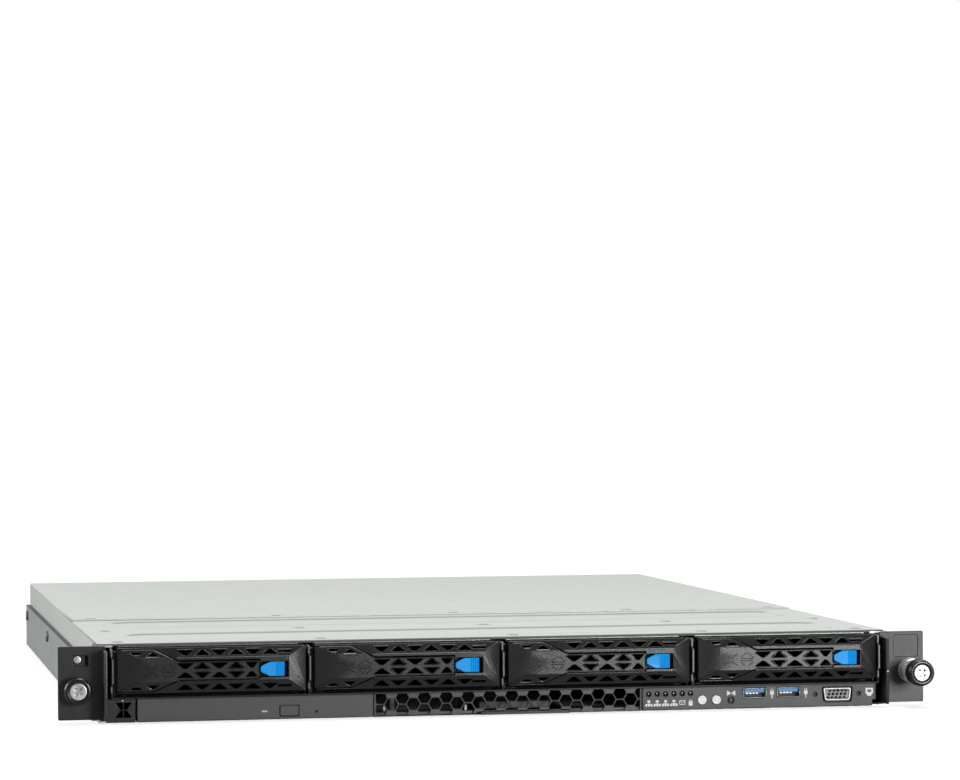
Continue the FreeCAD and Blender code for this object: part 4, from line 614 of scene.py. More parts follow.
# ---------------------------------------------------------------- thumbscrews
# Captive rack screws: a fixed collar in each ear, a sprung sleeve, and a black knurled knob on a plated
# core with a cross recess. The left one is pressed in and the right one stands out.
def knurled(count, depth):
    """Fine straight knurling: the radius waves count times round wherever it is near the largest."""
    def carve(radius, angle, height):
        return radius - depth * (radius > 0.93 * radius.max()) * (0.5 - 0.5 * np.cos(count * angle)), height
    return carve


def sunk(profile, reach):
    """A (radius, depth) profile measured back from a face that stands at the height reach."""
    return [(radius, reach - depth) for radius, depth in profile]


SCREW_SPRING = 14.5
THUMBSCREWS = (("left", -231.2, 17.8, 0.0), ("right", 233.2, 19.6, SCREW_SPRING))
knob_black = moulded("knob_moulding", (0.002, 0.002, 0.0022), 0.2, 0.5, 0.15)
collar_steel = plated("collar_steel", (0.84, 0.84, 0.83), 0.26, 0.55)
core_steel = plated("screw_core", (0.60, 0.60, 0.59), 0.32, 0.85)
knob_wall = [(4.7, 1.75), (6.9, 1.75), (7.2, 1.95), (7.45, 2.5), (7.5, 3.2), (7.5, 7.6), (7.42, 8.2),
             (7.25, 8.5),
             (7.0, 8.5), (6.95, 8.2), (6.95, 1.95), (4.7, 1.95)]
knob_face = [(4.75, 1.75), (6.6, 1.75), (6.95, 1.5), (7.1, 0.9), (6.95, 0.35), (6.5, 0.0), (5.5, 0.0),
             (5.1, 0.12),
             (4.75, 0.4)]
shank = [(4.7, 1.75), (1.9, 1.8), (1.9, 1.9), (1.9, 16.4), (2.5, 16.6), (2.5, 22.2), (2.1, 22.5),
         (0.2, 22.5)]
for side_name, x, z, out in THUMBSCREWS:
    reach = 11.5 + out
    knob = [ring_of(sunk(knob_wall, reach), (x, 0, z), turns=96, wrap=knurled(32, 0.14)),
            ring_of(sunk(knob_face, reach), (x, 0, z), turns=64)]
    build(side_name + "_knob", knob, knob_black, side_name + "_screw", "knob_black", smooth=40)
    core = np.r_[level_line(np.linspace(0.15, 3.9, 18), reach - 0.35),
                 fold(4.2, reach - 0.8, 0.5, 70, -70, 4),
                 sunk(shank, reach)]
    build(side_name + "_screw_core", [turned(core, (x, 0, z), turns=48, wrap=cross_recess(2.7, 0.62, 0.9))],
          core_steel, side_name + "_screw", "screw_steel", side_name + "_thumbscrew", smooth=40)

collar = [(4.65, 0.0), (4.65, 9.45), (4.8, 9.5), (6.4, 9.5), (6.8, 9.1), (6.8, 5.3), (6.3, 5.1), (6.3, 4.7),
          (6.8, 4.5), (6.8, 2.1), (5.5, 2.0), (5.5, 0.0)]
for side_name, x, z, out in THUMBSCREWS:
    stood_for = ["thumbscrew_collars"] if side_name == "left" else []
    build(side_name + "_collar", [ring_of(collar, (x, 0, z), turns=64)], collar_steel, "chassis",
          "screw_steel",
          *stood_for, smooth=40)
    end = 9.7 + out
    start = end - SCREW_SPRING
    sleeve = [(4.6, end), (4.6, start + 0.3), (4.3, start), (1.95, start), (1.95, end)]
    build(side_name + "_spring_sleeve", [ring_of(sleeve, (x, 0, z))], collar_steel, side_name + "_sleeve",
          "screw_steel", side_name + "_screw_sleeve", smooth=40)


# ---------------------------------------------------------------- drive cage
# Steel cage between the chassis walls: a floor over the lower row and five dividers, each with a
# folded front edge in three lengths between the carriers. Its dark colour is painted shade, lighter on the
# folds.
BAY_PITCH = 106.5
CAGE_FLOOR, CAGE_TOP = 13.3, 40.0
CAGE_FRONT, CAGE_BACK = -9.0, 163.0
# The cage's dark colour is painted shade.
cage_shade = steel_sheet("cage_sheet_painted_shade", (0.045, 0.045, 0.046), 0.4, 0.003, 0.12, 0.3)
cage = [slab(oblong(-213.35, 213.35, CAGE_FRONT, CAGE_BACK, 1.0), CAGE_FLOOR, 14.0, "xzy", (0, 0.05))]
cage += [slab(oblong(*mirrored(sign, 213.0, 218.75), 4.3, CAGE_BACK, 0.5), CAGE_FLOOR, 14.0, "xzy")
         for sign in (-1, 1)]
divider = oblong(CAGE_FRONT, CAGE_BACK, CAGE_FLOOR, CAGE_TOP, 0.6)
windows = [oblong(30, 70, 20, 34, 3), oblong(90, 130, 20, 34, 3)]
DIVIDERS = BAY_PITCH * np.arange(-2, 3)
cage += [slab(divider, x - 0.35, x + 0.35, "yzx", (0.05, 0.05), windows) for x in DIVIDERS]
build("drive_cage_sheet", cage, cage_shade, "chassis", "galvanised", "drive_cage")
# The folded edges are painted a lighter shade, where more light reaches them.
cage_edge_shade = steel_sheet("cage_edge_lighter_shade", (0.17, 0.17, 0.17), 0.4, 0.003, 0.1, 0.3)
folds = [slab(oblong(x + shift - 0.5, x + shift + 0.5, low, high, 0.3, 3), -9.8, -4.5, soft=(0.15, 0))
         for x in DIVIDERS for shift, low, high in ((-0.3, 16.5, 20.0), (0.35, 21.3, 34.5),
                                                    (-0.3, 35.6, CAGE_TOP))]
build("cage_folded_edges", folds, cage_edge_shade, "chassis", "galvanised")


# ---------------------------------------------------------------- drive carriers
# Four hot-swap carriers. Each has a moulded bezel, a flat rim with facets rising to a middle that is
# 2.4 mm proud, cut with rows of triangular vents, and side runners that hold a 3.5 inch drive. Thin
# raised lines follow the bezel's edges.
BAYS = BAY_PITCH * (np.arange(4) - 1.5)
MIDDLE = (-39.0, 41.6, 22.5, 35.3)
FACE = (-50.75, 50.75, 16.3, 40.7)
BEZEL_FRONT, BEZEL_BACK = -12.1, -4.2


def bead(x0, z0, x1, z1, wide=0.5, proud=0.18, slope=0.18, front=BEZEL_FRONT):
    """A thin raised line on a front face: a bar along a segment whose edges slope in as they rise."""
    along = np.array([x1 - x0, z1 - z0]) / np.hypot(x1 - x0, z1 - z0)
    across_it = np.array([-along[1], along[0]]) * wide / 2
    a, b = np.array([x0, z0]), np.array([x1, z1])
    return plate(np.array([a - across_it, b - across_it, b + across_it, a + across_it]), [],
                 [(slope, front - proud), (0, front), (0, front + 0.3)])


def raised(x, z):
    """How far the bezel's face has risen at (x, z): 0 at the rim and 1 on the middle, flat facets between."""
    rise = [(x - FACE[0]) / (MIDDLE[0] - FACE[0]), (FACE[1] - x) / (FACE[1] - MIDDLE[1]),
            (z - FACE[2]) / (MIDDLE[2] - FACE[2]), (FACE[3] - z) / (FACE[3] - MIDDLE[3])]
    return np.clip(np.minimum.reduce([np.minimum(value, 1.0) for value in rise]), 0, 1)


def facets(back, draft=0.0):
    """Moves the front of a moulding out by the facets' rise and leaves its back plane where it is. Draft is
    how far its top face falls away to the back, as the mould needs."""
    def bend(points):
        x, y, z = points.T
        share = np.clip((back - y) / (back - BEZEL_FRONT), 0, 1.1)
        top = draft * (z > 40.4) * np.clip((y + 11.8) / 7.6, 0, 1)
        return np.stack([x, y - 2.4 * raised(x, z) * share, z - top], 1)
    return bend


FOLDS = [((x, 0, 0), (1, 0, 0)) for x in MIDDLE[:2]] + [((0, 0, z), (0, 0, 1)) for z in MIDDLE[2:]]
FOLDS += [((ex, 0, ez), (mz - ez, 0, ex - mx)) for ex, mx in zip(FACE[:2], MIDDLE[:2])
          for ez, mz in zip(FACE[2:], MIDDLE[2:])]


def build_in_bay(x, name, shells, material, body, slot, *nodes, folds=(), bend=None):
    """Builds a piece that is drawn about x = 0, with its folds and bend, in the bay whose middle is x."""
    there = np.array([x, 0.0, 0.0])
    build(name, [(points + there, faces) for points, faces in shells], material, body, slot, *nodes,
          creases=[((point[0] + x, point[1], point[2]), normal) for point, normal in folds],
          bend=bend and (lambda points: bend(points - there) + there))


def triangle(x, z, up, wide=8.6, high=2.7, tip=1.3):
    """A triangular vent with a blunt tip, anticlockwise, its base level and its point up or down."""
    s = 1 if up else -1
    outline = [(x - wide / 2, z - s * high / 2), (x + wide / 2, z - s * high / 2),
               (x + tip / 2, z + s * high / 2),
               (x - tip / 2, z + s * high / 2)]
    sharpness = [0.35, 0.35, 0.1, 0.1]
    return rounded(outline[::s], sharpness[::s], 3)


COLUMNS = -14.5 + 9.15 * np.arange(6)
FAINT, STRONG = (0.5, 0.09, 0.2), (0.5, 0.3, 0.15)
vents = []
for z, first_up in ((37.7, 0), (19.3, 1)):
    vents += [triangle(x, z, (k + first_up) % 2 == 1) for k, x in enumerate(COLUMNS)]
    vents += [oblong(35.4, 43.0, z - 0.5, z + 0.5, 0.35)]
bezel_outline = rounded([(-50.75, 16.3), (50.75, 16.3), (50.75, 40.7), (-50.75, 40.7), (-50.75, 40.1),
                         (-31.4, 40.1),
                         (-18.2, 33.85), (25.75, 33.85), (25.75, 32.4), (41.4, 32.4), (41.4, 24.1),
                         (25.75, 24.1), (25.75, 22.55), (-18.2, 22.55), (-31.4, 16.9), (-50.75, 16.9)],
                        [0.25, 1.0, 1.0, 0.25, 0.2, 0.4, 0.4, 0.2, 0.2, 0.4, 0.4, 0.2, 0.2, 0.4, 0.4, 0.2],
                        4)
bezel_shells = [plate(bezel_outline, vents, edges(BEZEL_FRONT, BEZEL_BACK, 0.22, 0), rim=1.6),
                slab(oblong(24.4, 41.4, 24.1, 32.4, 0.3), -6.2, BEZEL_BACK)]
for x in COLUMNS[::2]:
    bezel_shells += [bead(x - 4.3, 39.4, x + 4.3, 39.4, *FAINT), bead(x - 4.3, 17.6, x + 4.3, 17.6, *STRONG)]
for x in COLUMNS[1::2]:
    bezel_shells += [bead(x - 4.5, 36.5, x - 0.8, 39.3, *FAINT), bead(x + 0.8, 39.3, x + 4.5, 36.5, *FAINT)]
bezel_shells += [bead(35.4, 38.7, 43.0, 38.7, *FAINT), bead(35.4, 18.3, 43.0, 18.3, *STRONG),
                 bead(-19.0, 35.05, 41.5, 35.05), bead(-19.0, 22.7, 41.5, 22.7),
                 bead(41.3, 22.9, 41.3, 34.8),
                 bead(42.3, 35.9, 49.8, 40.2, *FAINT), bead(42.3, 22.0, 49.8, 17.0, *STRONG),
                 bead(46.4, 33.8, 48.9, 36.5, *FAINT), bead(46.4, 24.2, 48.9, 21.5)]
RUNNER_LOW, RUNNER_BACK = 14.1, 152.0
runner = rounded([(BEZEL_BACK, RUNNER_LOW), (RUNNER_BACK, RUNNER_LOW), (RUNNER_BACK, 38.5),
                  (BEZEL_BACK, 38.5)],
                 [0.4, 3.0, 6.0, 0.4])
cut_outs = [oblong(24, 56, 22, 31, 3), oblong(90, 122, 22, 31, 3)]
for sign in (-1, 1):
    ledge = oblong(*mirrored(sign, 44.2, 50.9), 2.5, RUNNER_BACK, 0.5)
    web = oblong(*mirrored(sign, 50.0, 50.9), BEZEL_BACK, 2.2, 0.1)
    bezel_shells += [slab(runner, *mirrored(sign, 50.85, 52.35), "yzx", (0.25, 0.25), cut_outs),
                     plate(ledge, [], [(0, RUNNER_LOW), (0, 14.6), (0.1, 14.75)], "xzy"),
                     slab(web, 16.3, 38.5, "xzy")]
bezel_shells.append(slab(oblong(-50.9, 50.9, 144.0, 149.0, 0.5), RUNNER_LOW, 14.75, "xzy", (0.1, 0)))

carrier_black = moulded("carrier_moulding", (0.003, 0.003, 0.0032), 0.29, 0.6, 0.35)
# A matt black frame behind each bezel is painted shade for the dark gap round it.
frame_shade_black = moulded("carrier_frame_moulding", (0.003, 0.003, 0.003), 0.75, 0.08, 0.3)
drive_cast = steel_sheet("drive_casting", (0.44, 0.45, 0.45), 0.38, 0.0016, 0.05, 0.85)
rear_frame = plate(oblong(-50.6, 50.6, 14.8, 40.7, 0.3), [],
                   [(0.2, -4.18), (0, -4.0), (0, -1.3), (0.3, -1.0)])
for bay, x in enumerate(BAYS, 1):
    carrier = "carrier_%d" % bay
    build_in_bay(x, "carrier_bezel_%d" % bay, bezel_shells, carrier_black, carrier, "carrier_black",
                 "drive_tray_%d" % bay, folds=FOLDS, bend=facets(BEZEL_BACK, 0.8))
    build_in_bay(x, "carrier_frame_%d" % bay, [rear_frame], frame_shade_black, carrier, "carrier_black")
    dress(drive_cast, "hard_drive_%d" % bay)


# ---------------------------------------------------------------- carrier levers
# The lever of each carrier turns on pins near the bezel's left edge. Its broad root narrows to a bar
# that carries the same facets and two more rows of triangular vents.
LEVER_BACK, LEVER_AXIS = -9.2, 28.2
lever_outline = rounded([(-50.75, 17.25), (-31.4, 17.25), (-18.2, 23.1), (25.4, 23.1), (25.4, 33.25),
                         (-18.2, 33.25),
                         (-31.4, 39.75), (-50.75, 39.75)], [0.2, 0.5, 0.4, 0.4, 0.4, 0.4, 0.5, 0.2], 4)
lever_vents = []
for z, odd, root_z, side_z in ((LEVER_AXIS + 2.5, 1, 37.6, 36.9), (LEVER_AXIS - 2.5, 0, 18.9, 19.6)):
    lever_vents += [triangle(x, z, k % 2 == odd) for k, x in enumerate(COLUMNS[:4])]
    lever_vents += [triangle(21.3, z, not odd, 6.0), triangle(-40.8, root_z, not odd, 6.2, 1.2, 3.0),
                    triangle(-31.9, side_z, bool(odd), 6.4, 1.8)]
lever_shells = [plate(lever_outline, lever_vents, edges(BEZEL_FRONT, LEVER_BACK, 0.35, 0.1), rim=1.2)]
for x in (-23.65, *COLUMNS[1:5:2]):
    lever_shells += [bead(x - 3.6, z, x + 3.6, z, 0.4) for z in (27.6, 28.8)]
z = LEVER_AXIS
for s in (1, -1):
    lever_shells += [bead(-27.2, z + 1.3 * s, -24.1, z + 3.7 * s),
                     bead(-23.2, z + 3.7 * s, -20.1, z + 1.3 * s),
                     bead(-36.6, z + 3.1 * s, -33.2, z + 0.8 * s),
                     bead(-32.4, z + 0.8 * s, -29.0, z + 3.1 * s)]
    lever_shells += [bead(x + 4.4 * side, z + 0.5 * s, x + 0.7 * side, z + 3.9 * s, 0.4, 0.12, 0.12)
                     for x in COLUMNS[1:5:2] for side in (-1, 1)]
lever_shells += [bead(-17.8, 32.75, 25.2, 32.75, 0.8, 0.3, 0.3),
                 bead(-17.8, 23.5, 25.2, 23.5, 0.6, 0.2, 0.2),
                 bead(-38.7, 35.05, -22.6, 35.05), bead(-38.7, 22.8, -38.7, 34.8, 0.4, 0.12, 0.12),
                 bead(-50.2, 17.7, -39.4, 22.4, *STRONG), bead(-50.2, 39.2, -39.4, 35.3, *FAINT)]
pivot = [(1.5, -12.0), (1.5, 11.7), (1.3, 11.9), (0.2, 11.9)]
lever_shells.append(turned(pivot, (-46.5, -9.5, 28.5), "z"))
for bay, x in enumerate(BAYS, 1):
    build_in_bay(x, "lever_%d_moulding" % bay, lever_shells, carrier_black, "lever_%d" % bay,
                 "carrier_black",
                 "tray_lever_%d" % bay, folds=FOLDS, bend=facets(LEVER_BACK))


# ---------------------------------------------------------------- latch buttons
# Blue moulded buttons that free the levers: an arrow that points left, ribbed for the thumb. Each slides
# 2 mm in its carrier's bezel.
RIB_START, RIB_PITCH = 33.4, 1.1


def ribs(points):
    """Five ridges across the thumb end: a triangular wave in x cut into the front face."""
    x, y, z = points.T
    wave = np.abs(((x - RIB_START) / RIB_PITCH) % 1 - 0.5) * 2
    share = np.clip((-13.0 - y) / 2.0, 0, 1) * (x > RIB_START) * (x < 38.9)
    return np.stack([x, y + 0.4 * wave * share, z], 1)


latch_outline = rounded([(26.1, 26.8), (31.0, 24.4), (39.1, 24.4), (39.1, 32.1), (31.0, 32.1), (26.1, 29.7)],
                        [0.6, 0.8, 0.5, 0.5, 0.8, 0.6], 4)
latch_blue = moulded("latch_moulding", (0.003, 0.33, 0.82), 0.45, 0.3, 0.25, 0.0005, 0.06)
latch = plate(latch_outline, [], edges(-15.0, -6.5, 0.4, 0.2))
RIBS = [((RIB_START + RIB_PITCH / 2 * k, 0, 0), (1, 0, 0)) for k in range(11)]
for bay, x in enumerate(BAYS, 1):
    build_in_bay(x, "latch_%d_moulding" % bay, [latch], latch_blue, "latch_%d" % bay, "latch_blue",
                 "latch_button_%d" % bay, folds=RIBS, bend=ribs)


# ---------------------------------------------------------------- corner vent
# Small moulded block at the left end of the lower row, with an hourglass opening crossed by a level
# bead and an upright rib, and a small metal dot above it.
ROW = (-4.8, -3.3)
VENT_X = -206.6


def foot(x0, x1):
    """The ledge behind a face plate that stands on the base sheet."""
    return slab(oblong(x0, x1, -3.4, 10.0, 0.3), 1.0, 2.5, "xzy", (0, 0.2))


row_black = moulded("front_row_moulding", (0.012, 0.012, 0.0125), 0.38, 0.5, 0.8)
hourglass = [rounded([(VENT_X - b, z0), (VENT_X + b, z0), (VENT_X + t, z1), (VENT_X - t, z1)], 0.3, 3)
             for z0, z1, b, t in ((7.4, 10.8, 1.8, 4.2), (3.0, 6.4, 4.2, 1.8))]
vent = [plate(oblong(-215.4, -200.2, 0.3, 13.1, 0.5), hourglass, edges(*ROW, 0.35, 0)), foot(-215.4, -200.2),
        bead(-209.6, 6.9, -203.6, 6.9, 0.5, 0.3, front=ROW[0]),
        slab(oblong(VENT_X - 0.25, VENT_X + 0.25, 2.6, 11.2, 0.1), -4.3, -3.4, soft=(0.1, 0))]
build("corner_vent_block", vent, row_black, "chassis", "bezel_black", "corner_vent")
dot = [(0.55, -1.2), (0.55, 0.02), (0.4, 0.15), (0.15, 0.2)]
build("corner_dot", [turned(dot, (-207.2, ROW[0], 12.0), turns=20)], screw_steel, "chassis", "screw_steel",
      smooth=40)


# ---------------------------------------------------------------- disc drive
# Slim disc drive. Its bezel is fixed to a sliding tray with a round well and a spindle hub, and has
# an eject key, a lamp window and a pinhole for the emergency release.
WELL = (-135, 60)
bezel_satin = moulded("disc_bezel_moulding", (0.085, 0.086, 0.088), 0.45, 0.45, 0.5, 0.0004, 0.1)
key_hole = oblong(-122.3, -111.7, 1.7, 7.7, 0.6)
pinhole = disc(-102.3, 4.0, 0.6, 16)
well = disc(*WELL, 60.3, 96)
hub = [(14.0, -1.0), (14.0, 2.2), (13.2, 2.6), (8.2, 2.6), (7.6, 3.4), (7.2, 4.0), (6.0, 4.3), (0.3, 4.3)]
tray = [plate(oblong(-199.3, -71.0, 0.3, 13.1, 0.6), [key_hole, pinhole], edges(*ROW, 0.5, 0.1), rim=0.6),
        slab(oblong(-197.95, -72.05, -3.3, 112.0, 2.0), 3.2, 8.5, "xzy", (0, 0.3), [well]),
        slab(well, 3.2, 5.0, "xzy"),
        turned(hub, (*WELL, 4.9), "z", 48)]
build("disc_tray_moulding", tray, bezel_satin, "disc_tray", "bezel_black", "optical_drive_tray")
window = plate(oblong(-132.0, -129.0, 4.2, 5.2, 0.2), [], [(0.12, -4.86), (0, ROW[0]), (0, -4.4)])
lens = moulded("disc_lamp_lens", (0.62, 0.62, 0.63), 0.3, 0.5, 0.05)
build("disc_lamp_window", [window], lens, "disc_tray", "lamp_clear")
eject = plate(oblong(-122.0, -112.0, 2.0, 7.4, 0.5), [], edges(-5.2, -4.15, 0.35, 0.05))
build("eject_key", [eject], bezel_satin, "eject", "bezel_black", "eject_button")
drive_sheet = steel_sheet("drive_case_sheet", (0.55, 0.56, 0.56), 0.34, 0.004, 0.04, 0.85)
dress(drive_sheet, "optical_drive_body")


# ---------------------------------------------------------------- honeycomb grille
# Moulded vent between the disc drive and the control panel: hexagons of 12.13 mm pitch, whole ones in
# every second column and pairs cut off by the edges in the columns between. A grey stiffener and two
# pale posts stand behind it.
HEX_REACH, HEX_STEP, HEX_LIFT = 3.6, 6.065, 3.501
HEX_X, HEX_Z = -61.035, 6.9
SMALLEST_CELL = 1.2


def clipped(loop, x0, x1, z0, z1):
    """The part of a convex loop inside a rectangle: cut by each side in turn."""
    for axis, limit, keep in ((0, x0, 1), (0, x1, -1), (1, z0, 1), (1, z1, -1)):
        away = (loop[:, axis] - limit) * keep
        ahead, away_ahead = np.roll(loop, -1, 0), np.roll(away, -1)
        crossing = (away > 0) != (away_ahead > 0)
        share = away / np.where(away == away_ahead, 1, away - away_ahead)
        pairs = np.stack([loop, loop + (ahead - loop) * share[:, None]], 1)
        keep_both = np.stack([away > 0, crossing], 1)
        loop = pairs.reshape(-1, 2)[keep_both.ravel()]
        if len(loop) < 3:
            return loop
    return loop


hexagon = disc(0, 0, HEX_REACH, 6)
cells = []
for column in range(-1, 25):
    for lift in ((0,) if column % 2 == 0 else (-1, 1)):
        centre = (HEX_X + HEX_STEP * column, HEX_Z + HEX_LIFT * lift)
        cell = clipped(hexagon + centre, -69.6, 77.6, 1.2, 12.65)
        if len(cell) > 2 and np.ptp(cell, axis=0).min() > SMALLEST_CELL:
            over_card = cell[:, 1].min() < 2.4 and -12.6 < cell[:, 0].mean() < 38.6
            cells.append(clipped(cell, -80, 80, 2.35, 13) if over_card else cell)
cells = [rounded(cell, 0.25, 3) for cell in cells if len(cell) > 2 and np.ptp(cell[:, 1]) > 1.0]
outline = rounded([(-70.7, 0.3), (-12.3, 0.3), (-12.3, 2.0), (38.3, 2.0), (38.3, 0.3), (78.7, 0.3),
                   (78.7, 13.1),
                   (-70.7, 13.1)], [0.4, 0.1, 0.1, 0.1, 0.1, 0.4, 0.4, 0.4], 3)
grille_grey = moulded("grille_moulding", (0.065, 0.067, 0.07), 0.4, 0.5, 0.6)
build("honeycomb_grille", [plate(outline, cells, edges(*ROW, 0.32, 0)), foot(-70.7, -12.6),
                           foot(38.6, 78.7)],
      grille_grey, "chassis", "bezel_black", "vent_grille")

stiffener_grey = moulded("stiffener_moulding", (0.06, 0.062, 0.066), 0.45, 0.4)
behind = [plate(oblong(-11.0, 28.5, 3.0, 20.0, 0.5), [], [(0.1, 2.6), (0, 2.8), (0, 6.2), (0.3, 6.5)],
                "xzy"),
          plate(oblong(-61.0, -58.4, 1.0, 12.0, 0.4), [], [(0.1, 2.0), (0, 2.2), (0, 12.4)])]
build("grille_stiffeners", behind, stiffener_grey, "chassis", "panel_grey")
post_cream = moulded("post_moulding", (0.75, 0.72, 0.60), 0.45, 0.4, 0.1)
post = [(0.7, 0.0), (0.7, 3.6), (0.45, 4.2), (0.15, 4.3)]
posts = [turned(post, (x, 0.5, 1.2), "z", 20) for x in (-64.4, -19.2)]
build("grille_posts", posts, post_cream, "chassis", "button_white", smooth=40)


# ---------------------------------------------------------------- service card
# Thin moulded card that slides under the grille and comes out 45 mm, with a raised pull lip at its
# front.
card = slab(rounded([(-12, -4.8), (38, -4.8), (38, 50), (-12, 50)], [0.3, 0.3, 3, 3]), 1.0, 1.8, "xzy",
            (0, 0.1))
lip = plate(oblong(-12, 38, 0.2, 2.0, 0.5), [], edges(-6.4, -5.0, 0.3, 0.1))
build("service_card", [card, lip], carrier_black, "tag", "bezel_black", "service_tag")


# ---------------------------------------------------------------- control panel
# Moulded plate with openings for six lamps, three keys, two serial bus sockets and a video socket. Its
# lower right corner is stepped. The symbols are printed in white.
LAMPS, LAMP_Z = 82.7 + 4.74 * np.arange(6), 9.3
KEYS, KEY_Z = (("power", 112.8), ("locate", 121.0)), 5.6
RESET_X, RESET_Z = 129.4, 5.1
BUS = (143.0, 162.4)
VIDEO, VIDEO_Z = 190.3, 7.3
panel_grey = moulded("control_panel_moulding", (0.062, 0.066, 0.069), 0.44, 0.45, 0.6, 0.0005, 0.16)
panel_outline = rounded([(79.0, 0.3), (210.8, 0.3), (210.8, 3.6), (213.0, 3.6), (213.0, 13.1), (79.0, 13.1)],
                        [0.4, 0.3, 0.2, 0.3, 0.5, 0.4], 4)
openings = [disc(x, LAMP_Z, 1.4, 20) for x in LAMPS] + [disc(x, KEY_Z, 2.6, 32) for key, x in KEYS]
openings += [disc(RESET_X, RESET_Z, 1.85, 28)] + [disc(VIDEO + s * 12.5, VIDEO_Z, 1.25, 20) for s in (-1, 1)]
openings += [rounded([(VIDEO - 7.9, 2.8), (VIDEO + 8.2, 2.8), (VIDEO + 9.1, 11.4), (VIDEO - 8.7, 11.4)],
                     1.4, 5)]
openings += [oblong(x - 6.8, x + 6.8, 5.9, 11.7, 0.6) for x in BUS]
build("control_panel", [plate(panel_outline, openings, edges(*ROW, 0.45, 0), rim=0.6), foot(79.0, 210.8)],
      panel_grey, "chassis", "panel_grey", "io_panel")

ink = []


def printed(outline, holes=()):
    """Adds a film of ink 0.03 mm proud of the panel."""
    ink.append(slab(outline, ROW[0] - 0.03, ROW[0] + 0.05, holes=list(holes)))


def stroke(path, wide):
    """A printed line: an open path given width by offsetting it to both sides, with square ends."""
    p = np.asarray(path, float)
    along = np.gradient(p, axis=0)
    along /= np.linalg.norm(along, axis=1, keepdims=True)
    left = np.stack([-along[:, 1], along[:, 0]], 1) * wide / 2
    printed(np.r_[p - left, (p + left)[::-1]])


# Four network symbols: a box on a stem over three small boxes on a line.
for x in LAMPS[:4]:
    printed(oblong(x - 0.85, x + 0.85, 4.75, 5.95, 0.1))
    stroke([(x, 4.75), (x, 4.02)], 0.5)
    stroke([(x - 1.9, 3.8), (x + 1.9, 3.8)], 0.45)
    for d in (-1.5, 0, 1.5):
        printed(oblong(x + d - 0.6, x + d + 0.6, 2.6, 3.55, 0.1))
# An envelope and a padlock.
x = LAMPS[4]
printed(oblong(x - 1.7, x + 1.7, 3.2, 5.6, 0.1), [oblong(x - 1.35, x + 1.35, 3.55, 5.25, 0.1)])
stroke([(x - 1.25, 5.1), (x, 4.15), (x + 1.25, 5.1)], 0.3)
x = LAMPS[5]
printed(oblong(x - 1.15, x + 1.15, 2.6, 4.9, 0.25))
stroke(fold(x, 4.9, 0.8, 0, 180, 13), 0.35)
# Two triangles whose tips meet between two bars, above the reset key.
x = 129.5
for s in (-1, 1):
    printed(rounded([(x + 0.1 * s, 9.0), (x + 1.9 * s, 10.3), (x + 1.9 * s, 7.7)][::s], 0.1, 2))
    stroke([(x + 2.15 * s, 7.7), (x + 2.15 * s, 10.3)], 0.45)
# A two-pronged plug beside each bus socket, and a screen beside the video socket.
for x in (152.9, 172.3):
    printed(oblong(x - 1.05, x + 1.05, 7.6, 9.6, 0.35))
    stroke([(x, 7.7), (x, 5.6)], 0.5)
    for d in (-0.5, 0.5):
        stroke([(x + d, 9.5), (x + d, 10.9)], 0.42)
screen = rounded([(207.9, 5.8), (210.1, 5.8), (210.4, 6.8), (211.2, 7.3), (211.2, 10.3), (206.8, 10.3),
                  (206.8, 7.3),
                  (207.6, 6.8)], 0.4)
printed(screen, [oblong(207.9, 210.1, 8.0, 9.4, 0.3)])
ink_white = moulded("white_ink", (0.90, 0.90, 0.89), 0.6, 0.3, 0.1, 0.0004, 0.04)
build("printed_symbols", ink, ink_white, "chassis", "button_white")


# ---------------------------------------------------------------- keys and lamps
# White power and locate keys with a faint ring, a small recessed reset key, and six light pipes that
# end behind the panel's lamp holes.
key_white = moulded("key_moulding", (0.95, 0.96, 0.94), 0.4, 0.5, 0.1, 0.0004, 0.03)
key_profile = [(3.6, 1.6), (3.6, 3.15), (2.5, 3.15), (2.5, 5.55), (2.38, 5.72), (2.1, 5.8), (1.45, 5.8),
               (1.35, 5.72),
               (1.2, 5.72), (1.1, 5.8), (0.2, 5.8)]
for key, x in KEYS:
    build(key + "_key", [turned(key_profile, (x, 0, KEY_Z), turns=40)], key_white, key, "button_white",
          key + "_button", smooth=40)
reset_profile = [(2.4, 1.6), (2.4, 3.15), (1.3, 3.15), (1.3, 4.6), (1.1, 4.75), (0.2, 4.8)]
build("reset_key", [turned(reset_profile, (RESET_X, 0, RESET_Z), turns=28)], panel_grey, "reset",
      "panel_grey",
      "reset_button", smooth=40)
smoked = moulded("light_pipe", (0.012, 0.013, 0.013), 0.12, 0.6, 0.02)
pipe = [(1.2, -2.0), (1.2, 3.3), (1.05, 3.6), (0.6, 3.85), (0.15, 3.9)]
pipes = [turned(pipe, (x, 0, LAMP_Z), turns=20) for x in LAMPS]
pipes.append(slab(oblong(81.0, 108.1, 7.6, 11.0, 0.4), -3.25, -2.6))
build("light_pipes", pipes, smoked, "chassis", "lamp_clear", "led_lenses")


# ---------------------------------------------------------------- front sockets
# Two serial bus sockets, folded bright shells round a blue contact tongue, and a fifteen-way video
# socket with a D-shaped nickel shell. All are soldered to the board behind the panel.
def tube_of(outline, wall, front, back, step=0.12):
    """A shell of even wall round an outline, open at the front and closed at the back."""
    inner = inset(outline, wall)
    steps = [(outline, 0, back), (outline, 0, front + step), (outline, step, front), (inner, -step, front),
             (inner, 0, front + step), (inner, 0, back - 0.5)]
    u, v, depth = np.concatenate([np.c_[inset(loop, move), np.full(len(loop), y)]
                                  for loop, move, y in steps]).T
    caps = [fill([outline]), fill([inner], (len(steps) - 1) * len(outline))]
    return np.stack([u, depth, v], 1), [tube_faces(len(steps), len(outline)), *caps]


